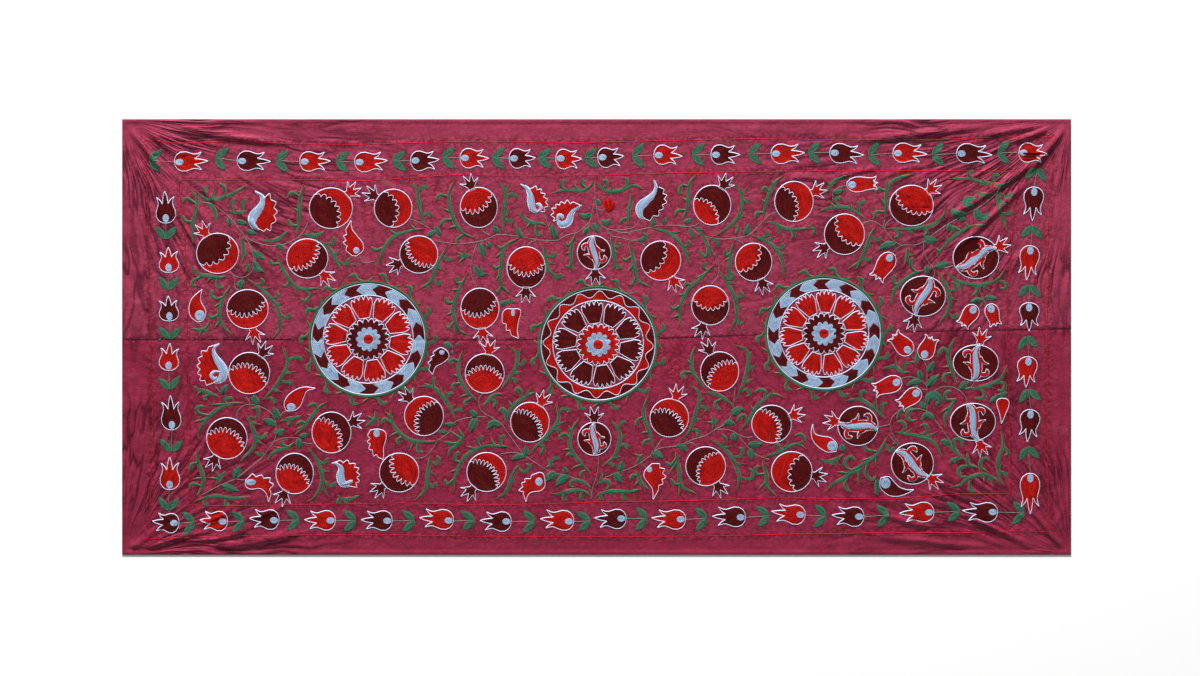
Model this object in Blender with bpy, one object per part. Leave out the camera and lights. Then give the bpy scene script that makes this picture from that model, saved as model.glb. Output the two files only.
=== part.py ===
"""Suzani cloth: two widths of plum satin sewn side by side along a centre seam, laid face up.

Metres, +Z up. The origin is the middle of the cloth's underside. +X runs along the long side and +Y
across it, so the cloth is seen face on from above. Each width is one thin closed sheet: it lies flat on
the surface, with its outer edges hemmed, and it lifts off the surface in the pulled folds that fan out
from the four corners.
"""

import math

import bmesh
import bpy
from mathutils import Vector
from mathutils.geometry import delaunay_2d_cdt

# The whole cloth
CLOTH_LENGTH = 2.200
CLOTH_WIDTH = 1.010
CLOTH_THICKNESS = 0.0015
CORNER_RADIUS = 0.004
CORNER_STEPS = 3

# The hem is turned once, so it is a little thicker than the cloth, and it lies flat
HEM_WIDTH = 0.008
HEM_STEP_WIDTH = 0.0015
HEM_EXTRA = 0.0006

# The two widths meet at the centre seam, which drifts off the middle as it was sewn
SEAM_GAP = 0.0003
SEAM_DIP = 0.0004
SEAM_DIP_WIDTH = 0.005
SEAM_COLUMNS = ("x", "y")
SEAM_LINE = [
    (-1.10, -0.007),
    (-0.22, -0.008),
    (0.16, -0.004),
    (0.45, 0.007),
    (0.70, 0.011),
    (1.10, 0.018),
]

# Spacing of the mesh's points
EDGE_SPACING = 0.040
FILL_SPACING = 0.090
FILL_CLEARANCE = 0.035
FOLD_SPACING = 0.022
POINT_CLEARANCE = 0.0035
FOLD_RAILS = (-1.0, -0.5, 0.0, 0.5, 1.0)
TRIANGULATION_EPSILON = 1e-6

# How far in from the outer edge the folds die out, and how much of a fold's length is its tapered end
FLAT_RIM = 0.010
RIM_FADE = 0.012
FOLD_TAPER = 0.28

# Folds, in millimetres and degrees. Each starts at a distance from its corner, on a line that makes
# start_angle with the long edge, and runs on at heading. bow is how far its middle strays towards the
# short edge's side.
FOLD_COLUMNS = ("corner", "start", "start_angle", "heading", "length", "bow", "width", "height")
FOLDS = [
    ("back_left", 12, 48, 51, 175, 2, 20, 6.0),
    ("back_left", 62, 22, 39, 110, 3, 18, 5.0),
    ("back_left", 71, 7, 8, 340, 7, 26, 5.0),
    ("back_left", 190, 42, 41, 140, -2, 16, 4.0),
    ("back_left", 30, 76, 69, 155, 4, 18, 4.0),
    ("back_left", 268, 25, 30, 90, 0, 14, 3.0),
    ("back_left", 264, 50, 52, 95, 0, 16, 3.5),
    ("back_left", 316, 38, 42, 120, 0, 16, 3.0),
    ("back_right", 22, 8, 11, 215, 0, 20, 5.0),
    ("back_right", 167, 3, 7, 355, 3, 26, 5.0),
    ("back_right", 44, 21, 18, 120, 5, 16, 4.5),
    ("back_right", 14, 49, 51, 155, 3, 22, 6.5),
    ("back_right", 91, 55, 33, 315, 5, 24, 5.5),
    ("back_right", 147, 57, 43, 300, 4, 22, 5.0),
    ("back_right", 28, 72, 79, 165, 3, 18, 4.0),
    ("back_right", 314, 31, 39, 85, 0, 14, 3.0),
    ("back_right", 450, 14, 13, 125, 0, 16, 3.0),
    ("front_left", 12, 45, 36, 105, -3, 18, 5.0),
    ("front_left", 22, 17, 15, 205, 2, 20, 5.0),
    ("front_left", 173, 4, 9, 275, -3, 26, 6.0),
    ("front_left", 132, 13, 9, 190, -5, 18, 4.0),
    ("front_left", 183, 75, 47, 80, 0, 14, 3.0),
    ("front_left", 178, 21, 23, 110, 0, 14, 3.0),
    ("front_left", 304, 15, 23, 112, 0, 14, 3.0),
    ("front_right", 18, 40, 51, 125, -4, 20, 6.0),
    ("front_right", 80, 9, 24, 195, 3, 20, 5.5),
    ("front_right", 251, 28, 23, 90, 0, 14, 3.0),
    ("front_right", 311, 10, 16, 156, 2, 18, 4.0),
    ("front_right", 197, 4, 6, 294, 3, 24, 4.5),
    ("front_right", 74, 57, 118, 62, 0, 14, 3.0),
]

# Signs of each corner's place, from the middle of the cloth
CORNERS = {
    "back_left": (-1, 1),
    "back_right": (1, 1),
    "front_left": (-1, -1),
    "front_right": (1, -1),
}

SATIN_COLOUR = (0.300, 0.036, 0.085, 1.0)
SATIN_ROUGHNESS = 0.42

MM = 0.001
HALF_LENGTH = CLOTH_LENGTH / 2
HALF_WIDTH = CLOTH_WIDTH / 2


def clear_scene():
    """Empty the scene, so that running the script twice gives the same model."""
    for old in list(bpy.data.objects):
        bpy.data.objects.remove(old, do_unlink=True)


def seam_y(x):
    """The seam's place across the cloth, straight between the rows of SEAM_LINE."""
    for (x0, y0), (x1, y1) in zip(SEAM_LINE, SEAM_LINE[1:]):
        if x <= x1:
            return y0 + (y1 - y0) * (x - x0) / (x1 - x0)
    return SEAM_LINE[-1][1]


def smooth(t):
    """Goes softly from 0 to 1 as t does."""
    t = min(max(t, 0.0), 1.0)
    return t * t * (3.0 - 2.0 * t)


class Fold:
    """One pulled fold: a soft ridge along a slightly bowed line, tapered at both ends."""

    def __init__(self, row):
        named = dict(zip(FOLD_COLUMNS, row))
        side_x, side_y = CORNERS[named["corner"]]
        corner = Vector((side_x * HALF_LENGTH, side_y * HALF_WIDTH))
        inward = Vector((-side_x, -side_y))
        reach = named["start"] * MM
        angle = math.radians(named["start_angle"])
        heading = math.radians(named["heading"])
        self.start = corner + Vector(
            (inward.x * math.cos(angle) * reach, inward.y * math.sin(angle) * reach)
        )
        self.along = Vector((inward.x * math.cos(heading), inward.y * math.sin(heading)))
        self.across = Vector((-inward.x * math.sin(heading), inward.y * math.cos(heading)))
        self.length = named["length"] * MM
        self.bow = named["bow"] * MM
        self.half_width = named["width"] * MM / 2
        self.height = named["height"] * MM

    def centre_offset(self, t):
        """How far the fold's middle line strays across at t, from 0 to 1 along it."""
        return self.bow * 4.0 * t * (1.0 - t)

    def point(self, t, rail):
        """A point at t along the fold, rail half widths to its side."""
        side = self.centre_offset(t) + rail * self.half_width
        return self.start + self.along * (t * self.length) + self.across * side

    def rise(self, place):
        """How high the fold lifts the cloth at a place."""
        away = place - self.start
        t = away.dot(self.along) / self.length
        if not 0.0 < t < 1.0:
            return 0.0
        side = abs(away.dot(self.across) - self.centre_offset(t)) / self.half_width
        if side >= 1.0:
            return 0.0
        ends = smooth(t / FOLD_TAPER) * smooth((1.0 - t) / FOLD_TAPER)
        return self.height * ends * (0.5 + 0.5 * math.cos(math.pi * side))


def edge_distance(place):
    """How far a place is from the cloth's outer edge."""
    return min(HALF_LENGTH - abs(place.x), HALF_WIDTH - abs(place.y))


def lift(place, folds):
    """The height of the cloth's underside, which stays on the surface along the hem."""
    rim = smooth((edge_distance(place) - FLAT_RIM) / RIM_FADE)
    if rim == 0.0:
        return 0.0
    return rim * max(fold.rise(place) for fold in folds)


def thickness(place):
    """The cloth's thickness: thicker in the hem, thinner where it rolls down into the seam."""
    inside_hem = (edge_distance(place) - HEM_WIDTH) / HEM_STEP_WIDTH
    from_seam = abs(place.y - seam_y(place.x)) / SEAM_DIP_WIDTH
    hem = HEM_EXTRA * (1.0 - smooth(inside_hem))
    return CLOTH_THICKNESS + hem - SEAM_DIP * (1.0 - smooth(from_seam))


def rounded_corner(side_x, side_y, inset):
    """The points of one rounded corner, inset from the outer edge, from the short side to the long."""
    radius = CORNER_RADIUS
    centre = Vector((side_x * (HALF_LENGTH - inset - radius), side_y * (HALF_WIDTH - inset - radius)))
    points = []
    for step in range(CORNER_STEPS + 1):
        angle = math.pi / 2 * step / CORNER_STEPS
        points.append(
            centre + Vector((side_x * radius * math.cos(angle), side_y * radius * math.sin(angle)))
        )
    return points


def divided(first, last, spacing):
    """Points between two ends, without the ends, no further apart than spacing."""
    count = max(1, math.ceil((last - first).length / spacing))
    return [first.lerp(last, i / count) for i in range(1, count)]


def seam_points(side_y, inset):
    """Points along the seam's side of one width, from +X to -X, inset from the seam's middle."""
    end = HALF_LENGTH - max(inset - SEAM_GAP / 2, 0.0)
    count = math.ceil(2 * end / EDGE_SPACING)
    points = []
    for i in range(count + 1):
        x = end - 2 * end * i / count
        points.append(Vector((x, seam_y(x) + side_y * inset)))
    return points


def panel_outline(side_y):
    """The outline of one width as a loop: its seam side, then round its outer sides."""
    seam_side = seam_points(side_y, SEAM_GAP / 2)
    left = rounded_corner(-1, side_y, 0.0)
    right = rounded_corner(1, side_y, 0.0)
    right.reverse()
    loop = list(seam_side)
    loop += divided(seam_side[-1], left[0], EDGE_SPACING)
    loop += left
    loop += divided(left[-1], right[0], EDGE_SPACING)
    loop += right
    loop += divided(right[-1], seam_side[0], EDGE_SPACING)
    return loop


def inner_lines(side_y):
    """The points that shape the hem's inner step and the roll into the seam."""
    points = []
    for inset in (HEM_WIDTH, HEM_WIDTH + HEM_STEP_WIDTH):
        left = Vector((-HALF_LENGTH + inset, side_y * (HALF_WIDTH - inset)))
        right = Vector((HALF_LENGTH - inset, side_y * (HALF_WIDTH - inset)))
        left_foot = Vector((left.x, seam_y(left.x)))
        right_foot = Vector((right.x, seam_y(right.x)))
        points += [left, right]
        points += divided(left_foot, left, EDGE_SPACING)
        points += divided(left, right, EDGE_SPACING)
        points += divided(right, right_foot, EDGE_SPACING)
    points += seam_points(side_y, SEAM_DIP_WIDTH)[1:-1]
    return points


def fold_points(folds):
    """Rails of points along every fold, so that its ridge and its feet are in the mesh."""
    points = []
    for fold in folds:
        stations = math.ceil(fold.length / FOLD_SPACING)
        for i in range(stations + 1):
            for rail in FOLD_RAILS:
                points.append(fold.point(i / stations, rail))
    return points


def fill_points():
    """A wide staggered grid for the flat middle, where nothing else sets the mesh."""
    points = []
    rows = math.ceil(CLOTH_WIDTH / FILL_SPACING)
    columns = math.ceil(CLOTH_LENGTH / FILL_SPACING)
    for row in range(rows + 1):
        shift = 0.5 * (row % 2)
        for column in range(columns + 1):
            x = -HALF_LENGTH + (column + shift) * FILL_SPACING
            y = -HALF_WIDTH + row * FILL_SPACING
            points.append(Vector((x, y)))
    return points


def is_inside(place, side_y):
    """Whether a free point lies on this width, clear of its hem and its seam."""
    rim = HEM_WIDTH + HEM_STEP_WIDTH + POINT_CLEARANCE
    beyond_seam = (place.y - seam_y(place.x)) * side_y
    return edge_distance(place) > rim and beyond_seam > SEAM_DIP_WIDTH + POINT_CLEARANCE


def add_clear(points, candidates, clearance):
    """Add the candidates that keep their distance from every point taken so far."""
    for candidate in candidates:
        if all((candidate - taken).length > clearance for taken in points):
            points.append(candidate)


def panel_points(side_y, folds):
    """The outline of one width, then its inner points."""
    outline = panel_outline(side_y)
    points = list(outline)
    points += inner_lines(side_y)
    on_folds = [place for place in fold_points(folds) if is_inside(place, side_y)]
    add_clear(points, on_folds, POINT_CLEARANCE)
    filling = [place for place in fill_points() if is_inside(place, side_y)]
    add_clear(points, filling, FILL_CLEARANCE)
    return points, len(outline)


def build_panel(name, side_y, folds, material):
    """One width of satin as a closed sheet that follows the folds on both faces."""
    points, outline_count = panel_points(side_y, folds)
    loop_edges = [(i, (i + 1) % outline_count) for i in range(outline_count)]
    inside_only = 1
    places, _, triangles, _, _, _ = delaunay_2d_cdt(
        points, loop_edges, [list(range(outline_count))], inside_only, TRIANGULATION_EPSILON
    )
    mesh = bmesh.new()
    top = []
    bottom = []
    for place in places:
        low = lift(place, folds)
        bottom.append(mesh.verts.new((place.x, place.y, low)))
        top.append(mesh.verts.new((place.x, place.y, low + thickness(place))))
    for corners in triangles:
        mesh.faces.new([top[i] for i in corners])
        mesh.faces.new([bottom[i] for i in reversed(corners)])
    partner = dict(zip(top, bottom))
    rim_edges = [edge for edge in mesh.edges if edge.is_boundary and edge.verts[0] in partner]
    for edge in rim_edges:
        first, second = edge.verts
        mesh.faces.new((first, second, partner[second], partner[first]))
    bmesh.ops.triangulate(mesh, faces=[face for face in mesh.faces if len(face.verts) > 3])
    bmesh.ops.recalc_face_normals(mesh, faces=mesh.faces)
    data = bpy.data.meshes.new(name)
    mesh.to_mesh(data)
    mesh.free()
    data.materials.append(material)
    panel = bpy.data.objects.new(name, data)
    bpy.context.scene.collection.objects.link(panel)
    data.shade_smooth()
    data.set_sharp_from_angle(angle=math.radians(40.0))
    print(name, "triangles", len(data.polygons))
    return panel


def satin_material(name):
    """Plum satin: a low, soft shine on a deep red-purple cloth."""
    material = bpy.data.materials.new(name)
    material.use_nodes = True
    shader = material.node_tree.nodes["Principled BSDF"]
    shader.inputs["Base Color"].default_value = SATIN_COLOUR
    shader.inputs["Roughness"].default_value = SATIN_ROUGHNESS
    shader.inputs["Metallic"].default_value = 0.0
    shader.inputs["Sheen Weight"].default_value = 0.3
    return material


def main():
    clear_scene()
    folds = [Fold(row) for row in FOLDS]
    build_panel("upper_panel", 1, folds, satin_material("satin_upper"))
    build_panel("lower_panel", -1, folds, satin_material("satin_lower"))


main()
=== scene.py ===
# %% [markdown]
# Suzani: a chain stitched satin cloth, laid face up
#
# The real thing is a panel of plum red silk satin, made of two loom widths sewn side by side. Someone drew
# the pattern on it with a pen, and then followed the drawing with a hook or a needle: pale blue outlines,
# and red, dark maroon, blue and green fillings, all in chain stitch. This lesson rebuilds it in the same
# order: first the cloth with its pulled folds, then the threads on top of it, then the light.
#
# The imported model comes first. Its two sheets fix the size and the place of everything here.

# %% Load the frame
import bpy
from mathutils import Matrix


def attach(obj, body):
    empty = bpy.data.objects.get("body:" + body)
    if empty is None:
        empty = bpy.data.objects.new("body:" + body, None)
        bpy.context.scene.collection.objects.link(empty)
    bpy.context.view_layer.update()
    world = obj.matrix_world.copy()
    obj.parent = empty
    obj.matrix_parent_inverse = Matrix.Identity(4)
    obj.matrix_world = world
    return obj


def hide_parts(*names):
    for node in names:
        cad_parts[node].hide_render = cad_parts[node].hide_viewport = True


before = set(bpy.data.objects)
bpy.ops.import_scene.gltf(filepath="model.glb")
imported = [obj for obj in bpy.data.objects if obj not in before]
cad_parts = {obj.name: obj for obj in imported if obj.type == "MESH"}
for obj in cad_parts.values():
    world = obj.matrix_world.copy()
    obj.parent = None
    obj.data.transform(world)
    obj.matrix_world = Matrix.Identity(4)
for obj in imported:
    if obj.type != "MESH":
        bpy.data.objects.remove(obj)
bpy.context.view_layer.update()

import math

import bpy
import numpy as np
from mathutils import Vector
from mathutils.geometry import delaunay_2d_cdt, tessellate_polygon
from mathutils.kdtree import KDTree

# %% [markdown]
# Sizes. The cloth is worked in metres, and a stitch in millimetres. The pattern was drawn freehand, so no
# rule gives the place of a pomegranate: each was found in the photograph, in the pixels of its 1200 x 676
# frame. The function on_cloth turns such a place into metres on the cloth, whose middle is the origin.
# Every size of a motif is a real one, in millimetres.

# %% Sizes and places
MM = 0.001
CLOTH_LENGTH = 2.200
CLOTH_WIDTH = 1.010
HALF_LENGTH = CLOTH_LENGTH / 2
HALF_WIDTH = CLOTH_WIDTH / 2
CLOTH_THICKNESS = 0.0015

FRAME_PIXELS = (1200, 676)
CLOTH_MIDDLE_PIXEL = (596.5, 336.9)
CLOTH_LENGTH_PIXELS = 948.6
PIXEL = CLOTH_LENGTH / CLOTH_LENGTH_PIXELS


def on_cloth(across, down):
    """Metres on the cloth from a place in the photograph, in its pixels."""
    x = (across - CLOTH_MIDDLE_PIXEL[0]) * PIXEL
    y = (CLOTH_MIDDLE_PIXEL[1] - down) * PIXEL
    return np.array((x, y))


print("one pixel of the photograph is", round(PIXEL / MM, 2), "mm of cloth")

# %% [markdown]
# The folds. The cloth was pulled out by its corners, so its main creases fan out from them as soft ridges,
# lower and wider as they leave the corner. They could be left to a cloth simulation, but a simulation
# puts creases where it likes. Here each is given, at the place and with the sizes of the solid
# sheets below, by its distance from the corner, its angles to the long edge, its length and its width.
# A ridge is half a cosine wave across, and it fades at both ends.

# %% The main folds
FOLD_COLUMNS = ("corner", "start", "start_angle", "heading", "length", "bow", "width", "height")
FOLDS = [
    ("back_left", 12, 48, 51, 175, 2, 20, 6.0),
    ("back_left", 62, 22, 39, 110, 3, 18, 5.0),
    ("back_left", 71, 7, 8, 340, 7, 26, 5.0),
    ("back_left", 190, 42, 41, 140, -2, 16, 4.0),
    ("back_left", 30, 76, 69, 155, 4, 18, 4.0),
    ("back_left", 268, 25, 30, 90, 0, 14, 3.0),
    ("back_left", 264, 50, 52, 95, 0, 16, 3.5),
    ("back_left", 316, 38, 42, 120, 0, 16, 3.0),
    ("back_right", 22, 8, 11, 215, 0, 20, 5.0),
    ("back_right", 167, 3, 7, 355, 3, 26, 5.0),
    ("back_right", 44, 21, 18, 120, 5, 16, 4.5),
    ("back_right", 14, 49, 51, 155, 3, 22, 6.5),
    ("back_right", 91, 55, 33, 315, 5, 24, 5.5),
    ("back_right", 147, 57, 43, 300, 4, 22, 5.0),
    ("back_right", 28, 72, 79, 165, 3, 18, 4.0),
    ("back_right", 314, 31, 39, 85, 0, 14, 3.0),
    ("back_right", 450, 14, 13, 125, 0, 16, 3.0),
    ("front_left", 12, 45, 36, 105, -3, 18, 5.0),
    ("front_left", 22, 17, 15, 205, 2, 20, 5.0),
    ("front_left", 173, 4, 9, 275, -3, 26, 6.0),
    ("front_left", 132, 13, 9, 190, -5, 18, 4.0),
    ("front_left", 183, 75, 47, 80, 0, 14, 3.0),
    ("front_left", 178, 21, 23, 110, 0, 14, 3.0),
    ("front_left", 304, 15, 23, 112, 0, 14, 3.0),
    ("front_right", 18, 40, 51, 125, -4, 20, 6.0),
    ("front_right", 80, 9, 24, 195, 3, 20, 5.5),
    ("front_right", 251, 28, 23, 90, 0, 14, 3.0),
    ("front_right", 311, 10, 16, 156, 2, 18, 4.0),
    ("front_right", 197, 4, 6, 294, 3, 24, 4.5),
    ("front_right", 74, 57, 118, 62, 0, 14, 3.0),
]
CORNERS = {"back_left": (-1, 1), "back_right": (1, 1), "front_left": (-1, -1), "front_right": (1, -1)}
FOLD_TAPER = 0.28
FLAT_RIM = 0.010
RIM_FADE = 0.012


def smooth(t):
    """Goes softly from 0 to 1 as t does."""
    t = np.clip(t, 0.0, 1.0)
    return t * t * (3.0 - 2.0 * t)


def fold_rise(row, x, y):
    """How high one fold lifts the cloth at each place."""
    named = dict(zip(FOLD_COLUMNS, row))
    side_x, side_y = CORNERS[named["corner"]]
    angle = math.radians(named["start_angle"])
    heading = math.radians(named["heading"])
    reach = named["start"] * MM
    away_x = (HALF_LENGTH - side_x * x) - math.cos(angle) * reach
    away_y = (HALF_WIDTH - side_y * y) - math.sin(angle) * reach
    t = (away_x * math.cos(heading) + away_y * math.sin(heading)) / (named["length"] * MM)
    sideways = away_y * math.cos(heading) - away_x * math.sin(heading)
    bow = named["bow"] * MM * 4.0 * t * (1.0 - t)
    side = np.clip(np.abs(sideways - bow) / (named["width"] * MM / 2), 0.0, 1.0)
    ends = smooth(t / FOLD_TAPER) * smooth((1.0 - t) / FOLD_TAPER)
    return named["height"] * MM * ends * (0.5 + 0.5 * np.cos(np.pi * side))


def edge_distance(x, y):
    """How far each place is from the cloth's outer edge."""
    return np.minimum(HALF_LENGTH - np.abs(x), HALF_WIDTH - np.abs(y))


print(len(FOLDS), "main folds")

# %% [markdown]
# Between the main folds the satin is never quite still: finer wrinkles fan out beside them, and the whole
# field swells a little where the stitching has drawn it in. The fine wrinkles are folds as well, only low
# and narrow, so the same function makes them, with a seeded random draw for each corner. The swell is a
# sum of a few long waves, under a millimetre high.

# %% Fine wrinkles and the swell of the field
WRINKLES_A_CORNER = 56
WRINKLE_SEED = 11
SWELL_COLUMNS = ("waves_along", "waves_across", "phase", "height")
SWELL = [(3.1, 1.2, 0.4, 0.30), (5.3, -2.1, 1.9, 0.22), (8.7, 3.3, 4.1, 0.16), (14.2, -6.4, 2.7, 0.10)]
draw = np.random.default_rng(WRINKLE_SEED)
wrinkles = []
for corner in CORNERS:
    for _ in range(WRINKLES_A_CORNER):
        start = draw.uniform(25, 420)
        start_angle = draw.uniform(3, 86) if start < 250 else draw.uniform(12, 60)
        heading = start_angle + draw.normal(0, 7)
        length = draw.uniform(60, 230)
        height = draw.uniform(0.7, 1.9) * (1.15 - start / 600)
        width = draw.uniform(9, 18)
        wrinkles.append((corner, start, start_angle, heading, length, draw.uniform(-3, 3), width, height))


def lift(x, y):
    """The height of the cloth's underside: main folds, fine wrinkles and swell, flat along the hem."""
    main = np.zeros_like(x)
    for row in FOLDS:
        main = np.maximum(main, fold_rise(row, x, y))
    fine = np.zeros_like(x)
    for row in wrinkles:
        fine = np.maximum(fine, fold_rise(row, x, y))
    swell = np.zeros_like(x)
    for row in SWELL:
        named = dict(zip(SWELL_COLUMNS, row))
        turn = named["waves_along"] * x + named["waves_across"] * y
        swell += named["height"] * MM * (0.5 + 0.5 * np.sin(2 * np.pi * turn + named["phase"]))
    rim = smooth((edge_distance(x, y) - FLAT_RIM) / RIM_FADE)
    return rim * (main + fine + swell)


print(len(wrinkles), "fine wrinkles")

# %% [markdown]
# The two widths of satin. Each is a closed sheet 1.5 mm thick: an upper face, a lower face and a narrow
# wall round them. Its grid is about 5 mm fine, with extra lines beside the edges, so that the turned hem
# stands a little proud and the cloth rolls down into the centre seam. The seam drifts off the middle as
# it was sewn, so the grid's rows are spaced between the seam and the outer edge.

# %% Grid lines and thickness
# Places of the seam along the cloth: x and y, in metres.
SEAM_LINE = [(-1.10, -0.007), (-0.22, -0.008), (0.16, -0.004), (0.45, 0.007), (0.70, 0.011), (1.10, 0.018)]
SEAM_GAP = 0.0003
SEAM_DIP = 0.0009
SEAM_DIP_WIDTH = 0.006
HEM_WIDTH = 0.008
HEM_STEP_WIDTH = 0.0015
HEM_EXTRA = 0.0006
EDGE_ROUND = 0.0012
EDGE_THINNING = 0.0006
GRID_STEP = 0.0052
HEM_LINES = (0.0, 0.0012, 0.004, 0.008, 0.0095)
SEAM_LINES = (0.0, 0.0015, 0.0035, 0.006)


def seam_y(x):
    """The seam's place across the cloth."""
    return np.interp(x, [row[0] for row in SEAM_LINE], [row[1] for row in SEAM_LINE])


def lines_between(first, last, step):
    """Evenly spaced grid lines from first to last, about step apart."""
    return np.linspace(first, last, max(2, round((last - first) / step) + 1))


columns_x = np.concatenate(
    [
        -HALF_LENGTH + np.array(HEM_LINES[:-1]),
        lines_between(-HALF_LENGTH + HEM_LINES[-1], HALF_LENGTH - HEM_LINES[-1], GRID_STEP),
        HALF_LENGTH - np.array(HEM_LINES[:-1])[::-1],
    ]
)
rows_out = np.concatenate(
    [
        np.array(SEAM_LINES[:-1]),
        lines_between(SEAM_LINES[-1], HALF_WIDTH - HEM_LINES[-1], GRID_STEP),
        HALF_WIDTH - np.array(HEM_LINES[:-1])[::-1],
    ]
)


def thickness(x, y):
    """The cloth's thickness, with its hem, its rounded edge and its roll into the seam."""
    edge = edge_distance(x, y)
    hem = HEM_EXTRA * (1.0 - smooth((edge - HEM_WIDTH) / HEM_STEP_WIDTH))
    rounded = EDGE_THINNING * (1.0 - smooth(edge / EDGE_ROUND))
    seam = SEAM_DIP * (1.0 - smooth(np.abs(y - seam_y(x)) / SEAM_DIP_WIDTH))
    return CLOTH_THICKNESS + hem - rounded - seam


print("grid", len(columns_x), "x", len(rows_out), "for each width")

# %% Places on one width's grid


def panel_grid(side):
    """The grid places of one width: its rows run from the seam to the outer edge on its side."""
    x = np.repeat(columns_x[:, None], len(rows_out), axis=1)
    seam = seam_y(x) + side * SEAM_GAP / 2
    share = rows_out[None, :] / HALF_WIDTH
    y = seam + (side * HALF_WIDTH - seam) * share
    low = lift(x, y)
    return x, y, low, low + thickness(x, y)


panels = {"cloth_upper": (1, panel_grid(1)), "cloth_lower": (-1, panel_grid(-1))}


def surface(x, y):
    """The height of the satin's upper face, read off the grid as its mesh has it."""
    x = np.asarray(x, dtype=float)
    y = np.asarray(y, dtype=float)
    height = np.zeros_like(x)
    seam_here = seam_y(x)
    for side, (_, _, _, top) in panels.values():
        mine = (y - seam_here) * side >= 0
        seam = seam_here[mine] + side * SEAM_GAP / 2
        out = (y[mine] - seam) / (side * HALF_WIDTH - seam) * HALF_WIDTH
        i = np.clip(np.searchsorted(columns_x, x[mine]) - 1, 0, len(columns_x) - 2)
        j = np.clip(np.searchsorted(rows_out, out) - 1, 0, len(rows_out) - 2)
        u = np.clip((x[mine] - columns_x[i]) / (columns_x[i + 1] - columns_x[i]), 0, 1)
        v = np.clip((out - rows_out[j]) / (rows_out[j + 1] - rows_out[j]), 0, 1)
        near = top[i, j] * (1 - v) + top[i, j + 1] * v
        far = top[i + 1, j] * (1 - v) + top[i + 1, j + 1] * v
        height[mine] = near * (1 - u) + far * u
    return height


print("highest fold", round(max(grid[3].max() for _, grid in panels.values()) / MM, 1), "mm")

# %% Build the two widths


def mesh_object(name, places, triangles, stitch_map=None):
    """A smooth shaded mesh object from arrays of places, triangles and, if any, stitch coordinates."""
    data = bpy.data.meshes.new(name)
    data.vertices.add(len(places))
    data.vertices.foreach_set("co", np.asarray(places, dtype=np.float32).ravel())
    data.loops.add(len(triangles) * 3)
    data.loops.foreach_set("vertex_index", np.asarray(triangles, dtype=np.int32).ravel())
    data.polygons.add(len(triangles))
    data.polygons.foreach_set("loop_start", np.arange(len(triangles), dtype=np.int32) * 3)
    if stitch_map is not None:
        layer = data.uv_layers.new(name=STITCH_MAP)
        corners = np.asarray(stitch_map)[np.asarray(triangles).ravel()]
        layer.uv.foreach_set("vector", corners.astype(np.float32).ravel())
    data.update(calc_edges=True)
    data.validate()
    data.shade_smooth()
    made = bpy.data.objects.new(name, data)
    bpy.context.scene.collection.objects.link(made)
    return made


def quads_to_triangles(a, b, c, d):
    """Two triangles for each quad, whose corners are given as four arrays."""
    return np.concatenate([np.stack([a, b, c], -1).reshape(-1, 3), np.stack([a, c, d], -1).reshape(-1, 3)])


def build_width(name, side, grid):
    """One width of satin as a closed sheet."""
    x, y, low, top = grid
    count = x.size
    index = np.arange(count).reshape(x.shape)
    corners = index[:-1, :-1], index[1:, :-1], index[1:, 1:], index[:-1, 1:]
    upper = quads_to_triangles(*corners)
    lower = upper[:, ::-1] + count
    rim = np.concatenate([index[:, 0], index[-1, 1:], index[-2::-1, -1], index[0, -2:0:-1]])
    following = np.roll(rim, -1)
    wall = quads_to_triangles(rim, rim + count, following + count, following)
    triangles = np.concatenate([upper, lower, wall])
    if side < 0:
        triangles = triangles[:, ::-1]
    flat = [np.stack([x, y, z], -1).reshape(-1, 3) for z in (top, low)]
    return mesh_object(name, np.concatenate(flat), triangles)


STITCH_MAP = "Stitch"
cloths = {name: build_width(name, side, grid) for name, (side, grid) in panels.items()}
for name, cloth in cloths.items():
    print(name, len(cloth.data.polygons), "triangles")

# %% [markdown]
# Threads. Each colour of thread becomes one mesh, gathered from hundreds of small shapes of three kinds.
# A cord is a single line of chain stitch: a low ridge that swells at each loop of the chain. A pad is a
# filled shape: rows of chain stitch packed side by side, under a millimetre high. A ribbon is a stroke
# that widens and narrows. All are closed bodies that sink a little into the cloth, as thread does. All
# carry stitch coordinates in a UV map, along the row and across it, in metres, which the thread's
# material reads.

# %% Gather shapes of one thread
SINK = 0.0002


class Thread:
    """All the shapes stitched in one thread, gathered for one mesh."""

    def __init__(self):
        self.places = []
        self.triangles = []
        self.maps = []
        self.count = 0

    def add(self, places, triangles, stitch_map):
        self.places.append(places)
        self.triangles.append(np.asarray(triangles) + self.count)
        self.maps.append(stitch_map)
        self.count += len(places)


threads = {}


def thread(name):
    """The thread of this name, begun when it is first used."""
    return threads.setdefault(name, Thread())


def resampled(points, spacing, closed):
    """Points evenly spaced along a line, and how far along it each one is."""
    points = np.asarray(points, dtype=float)
    if closed:
        points = np.vstack([points, points[:1]])
    steps = np.linalg.norm(np.diff(points, axis=0), axis=1)
    travelled = np.concatenate([[0.0], np.cumsum(steps)])
    count = max(2, int(round(travelled[-1] / spacing)))
    wanted = np.linspace(0.0, travelled[-1], count + 1)
    if closed:
        wanted = wanted[:-1]
    x = np.interp(wanted, travelled, points[:, 0])
    y = np.interp(wanted, travelled, points[:, 1])
    return np.stack([x, y], -1), wanted


CURVE_SPACING = 0.0025


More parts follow.
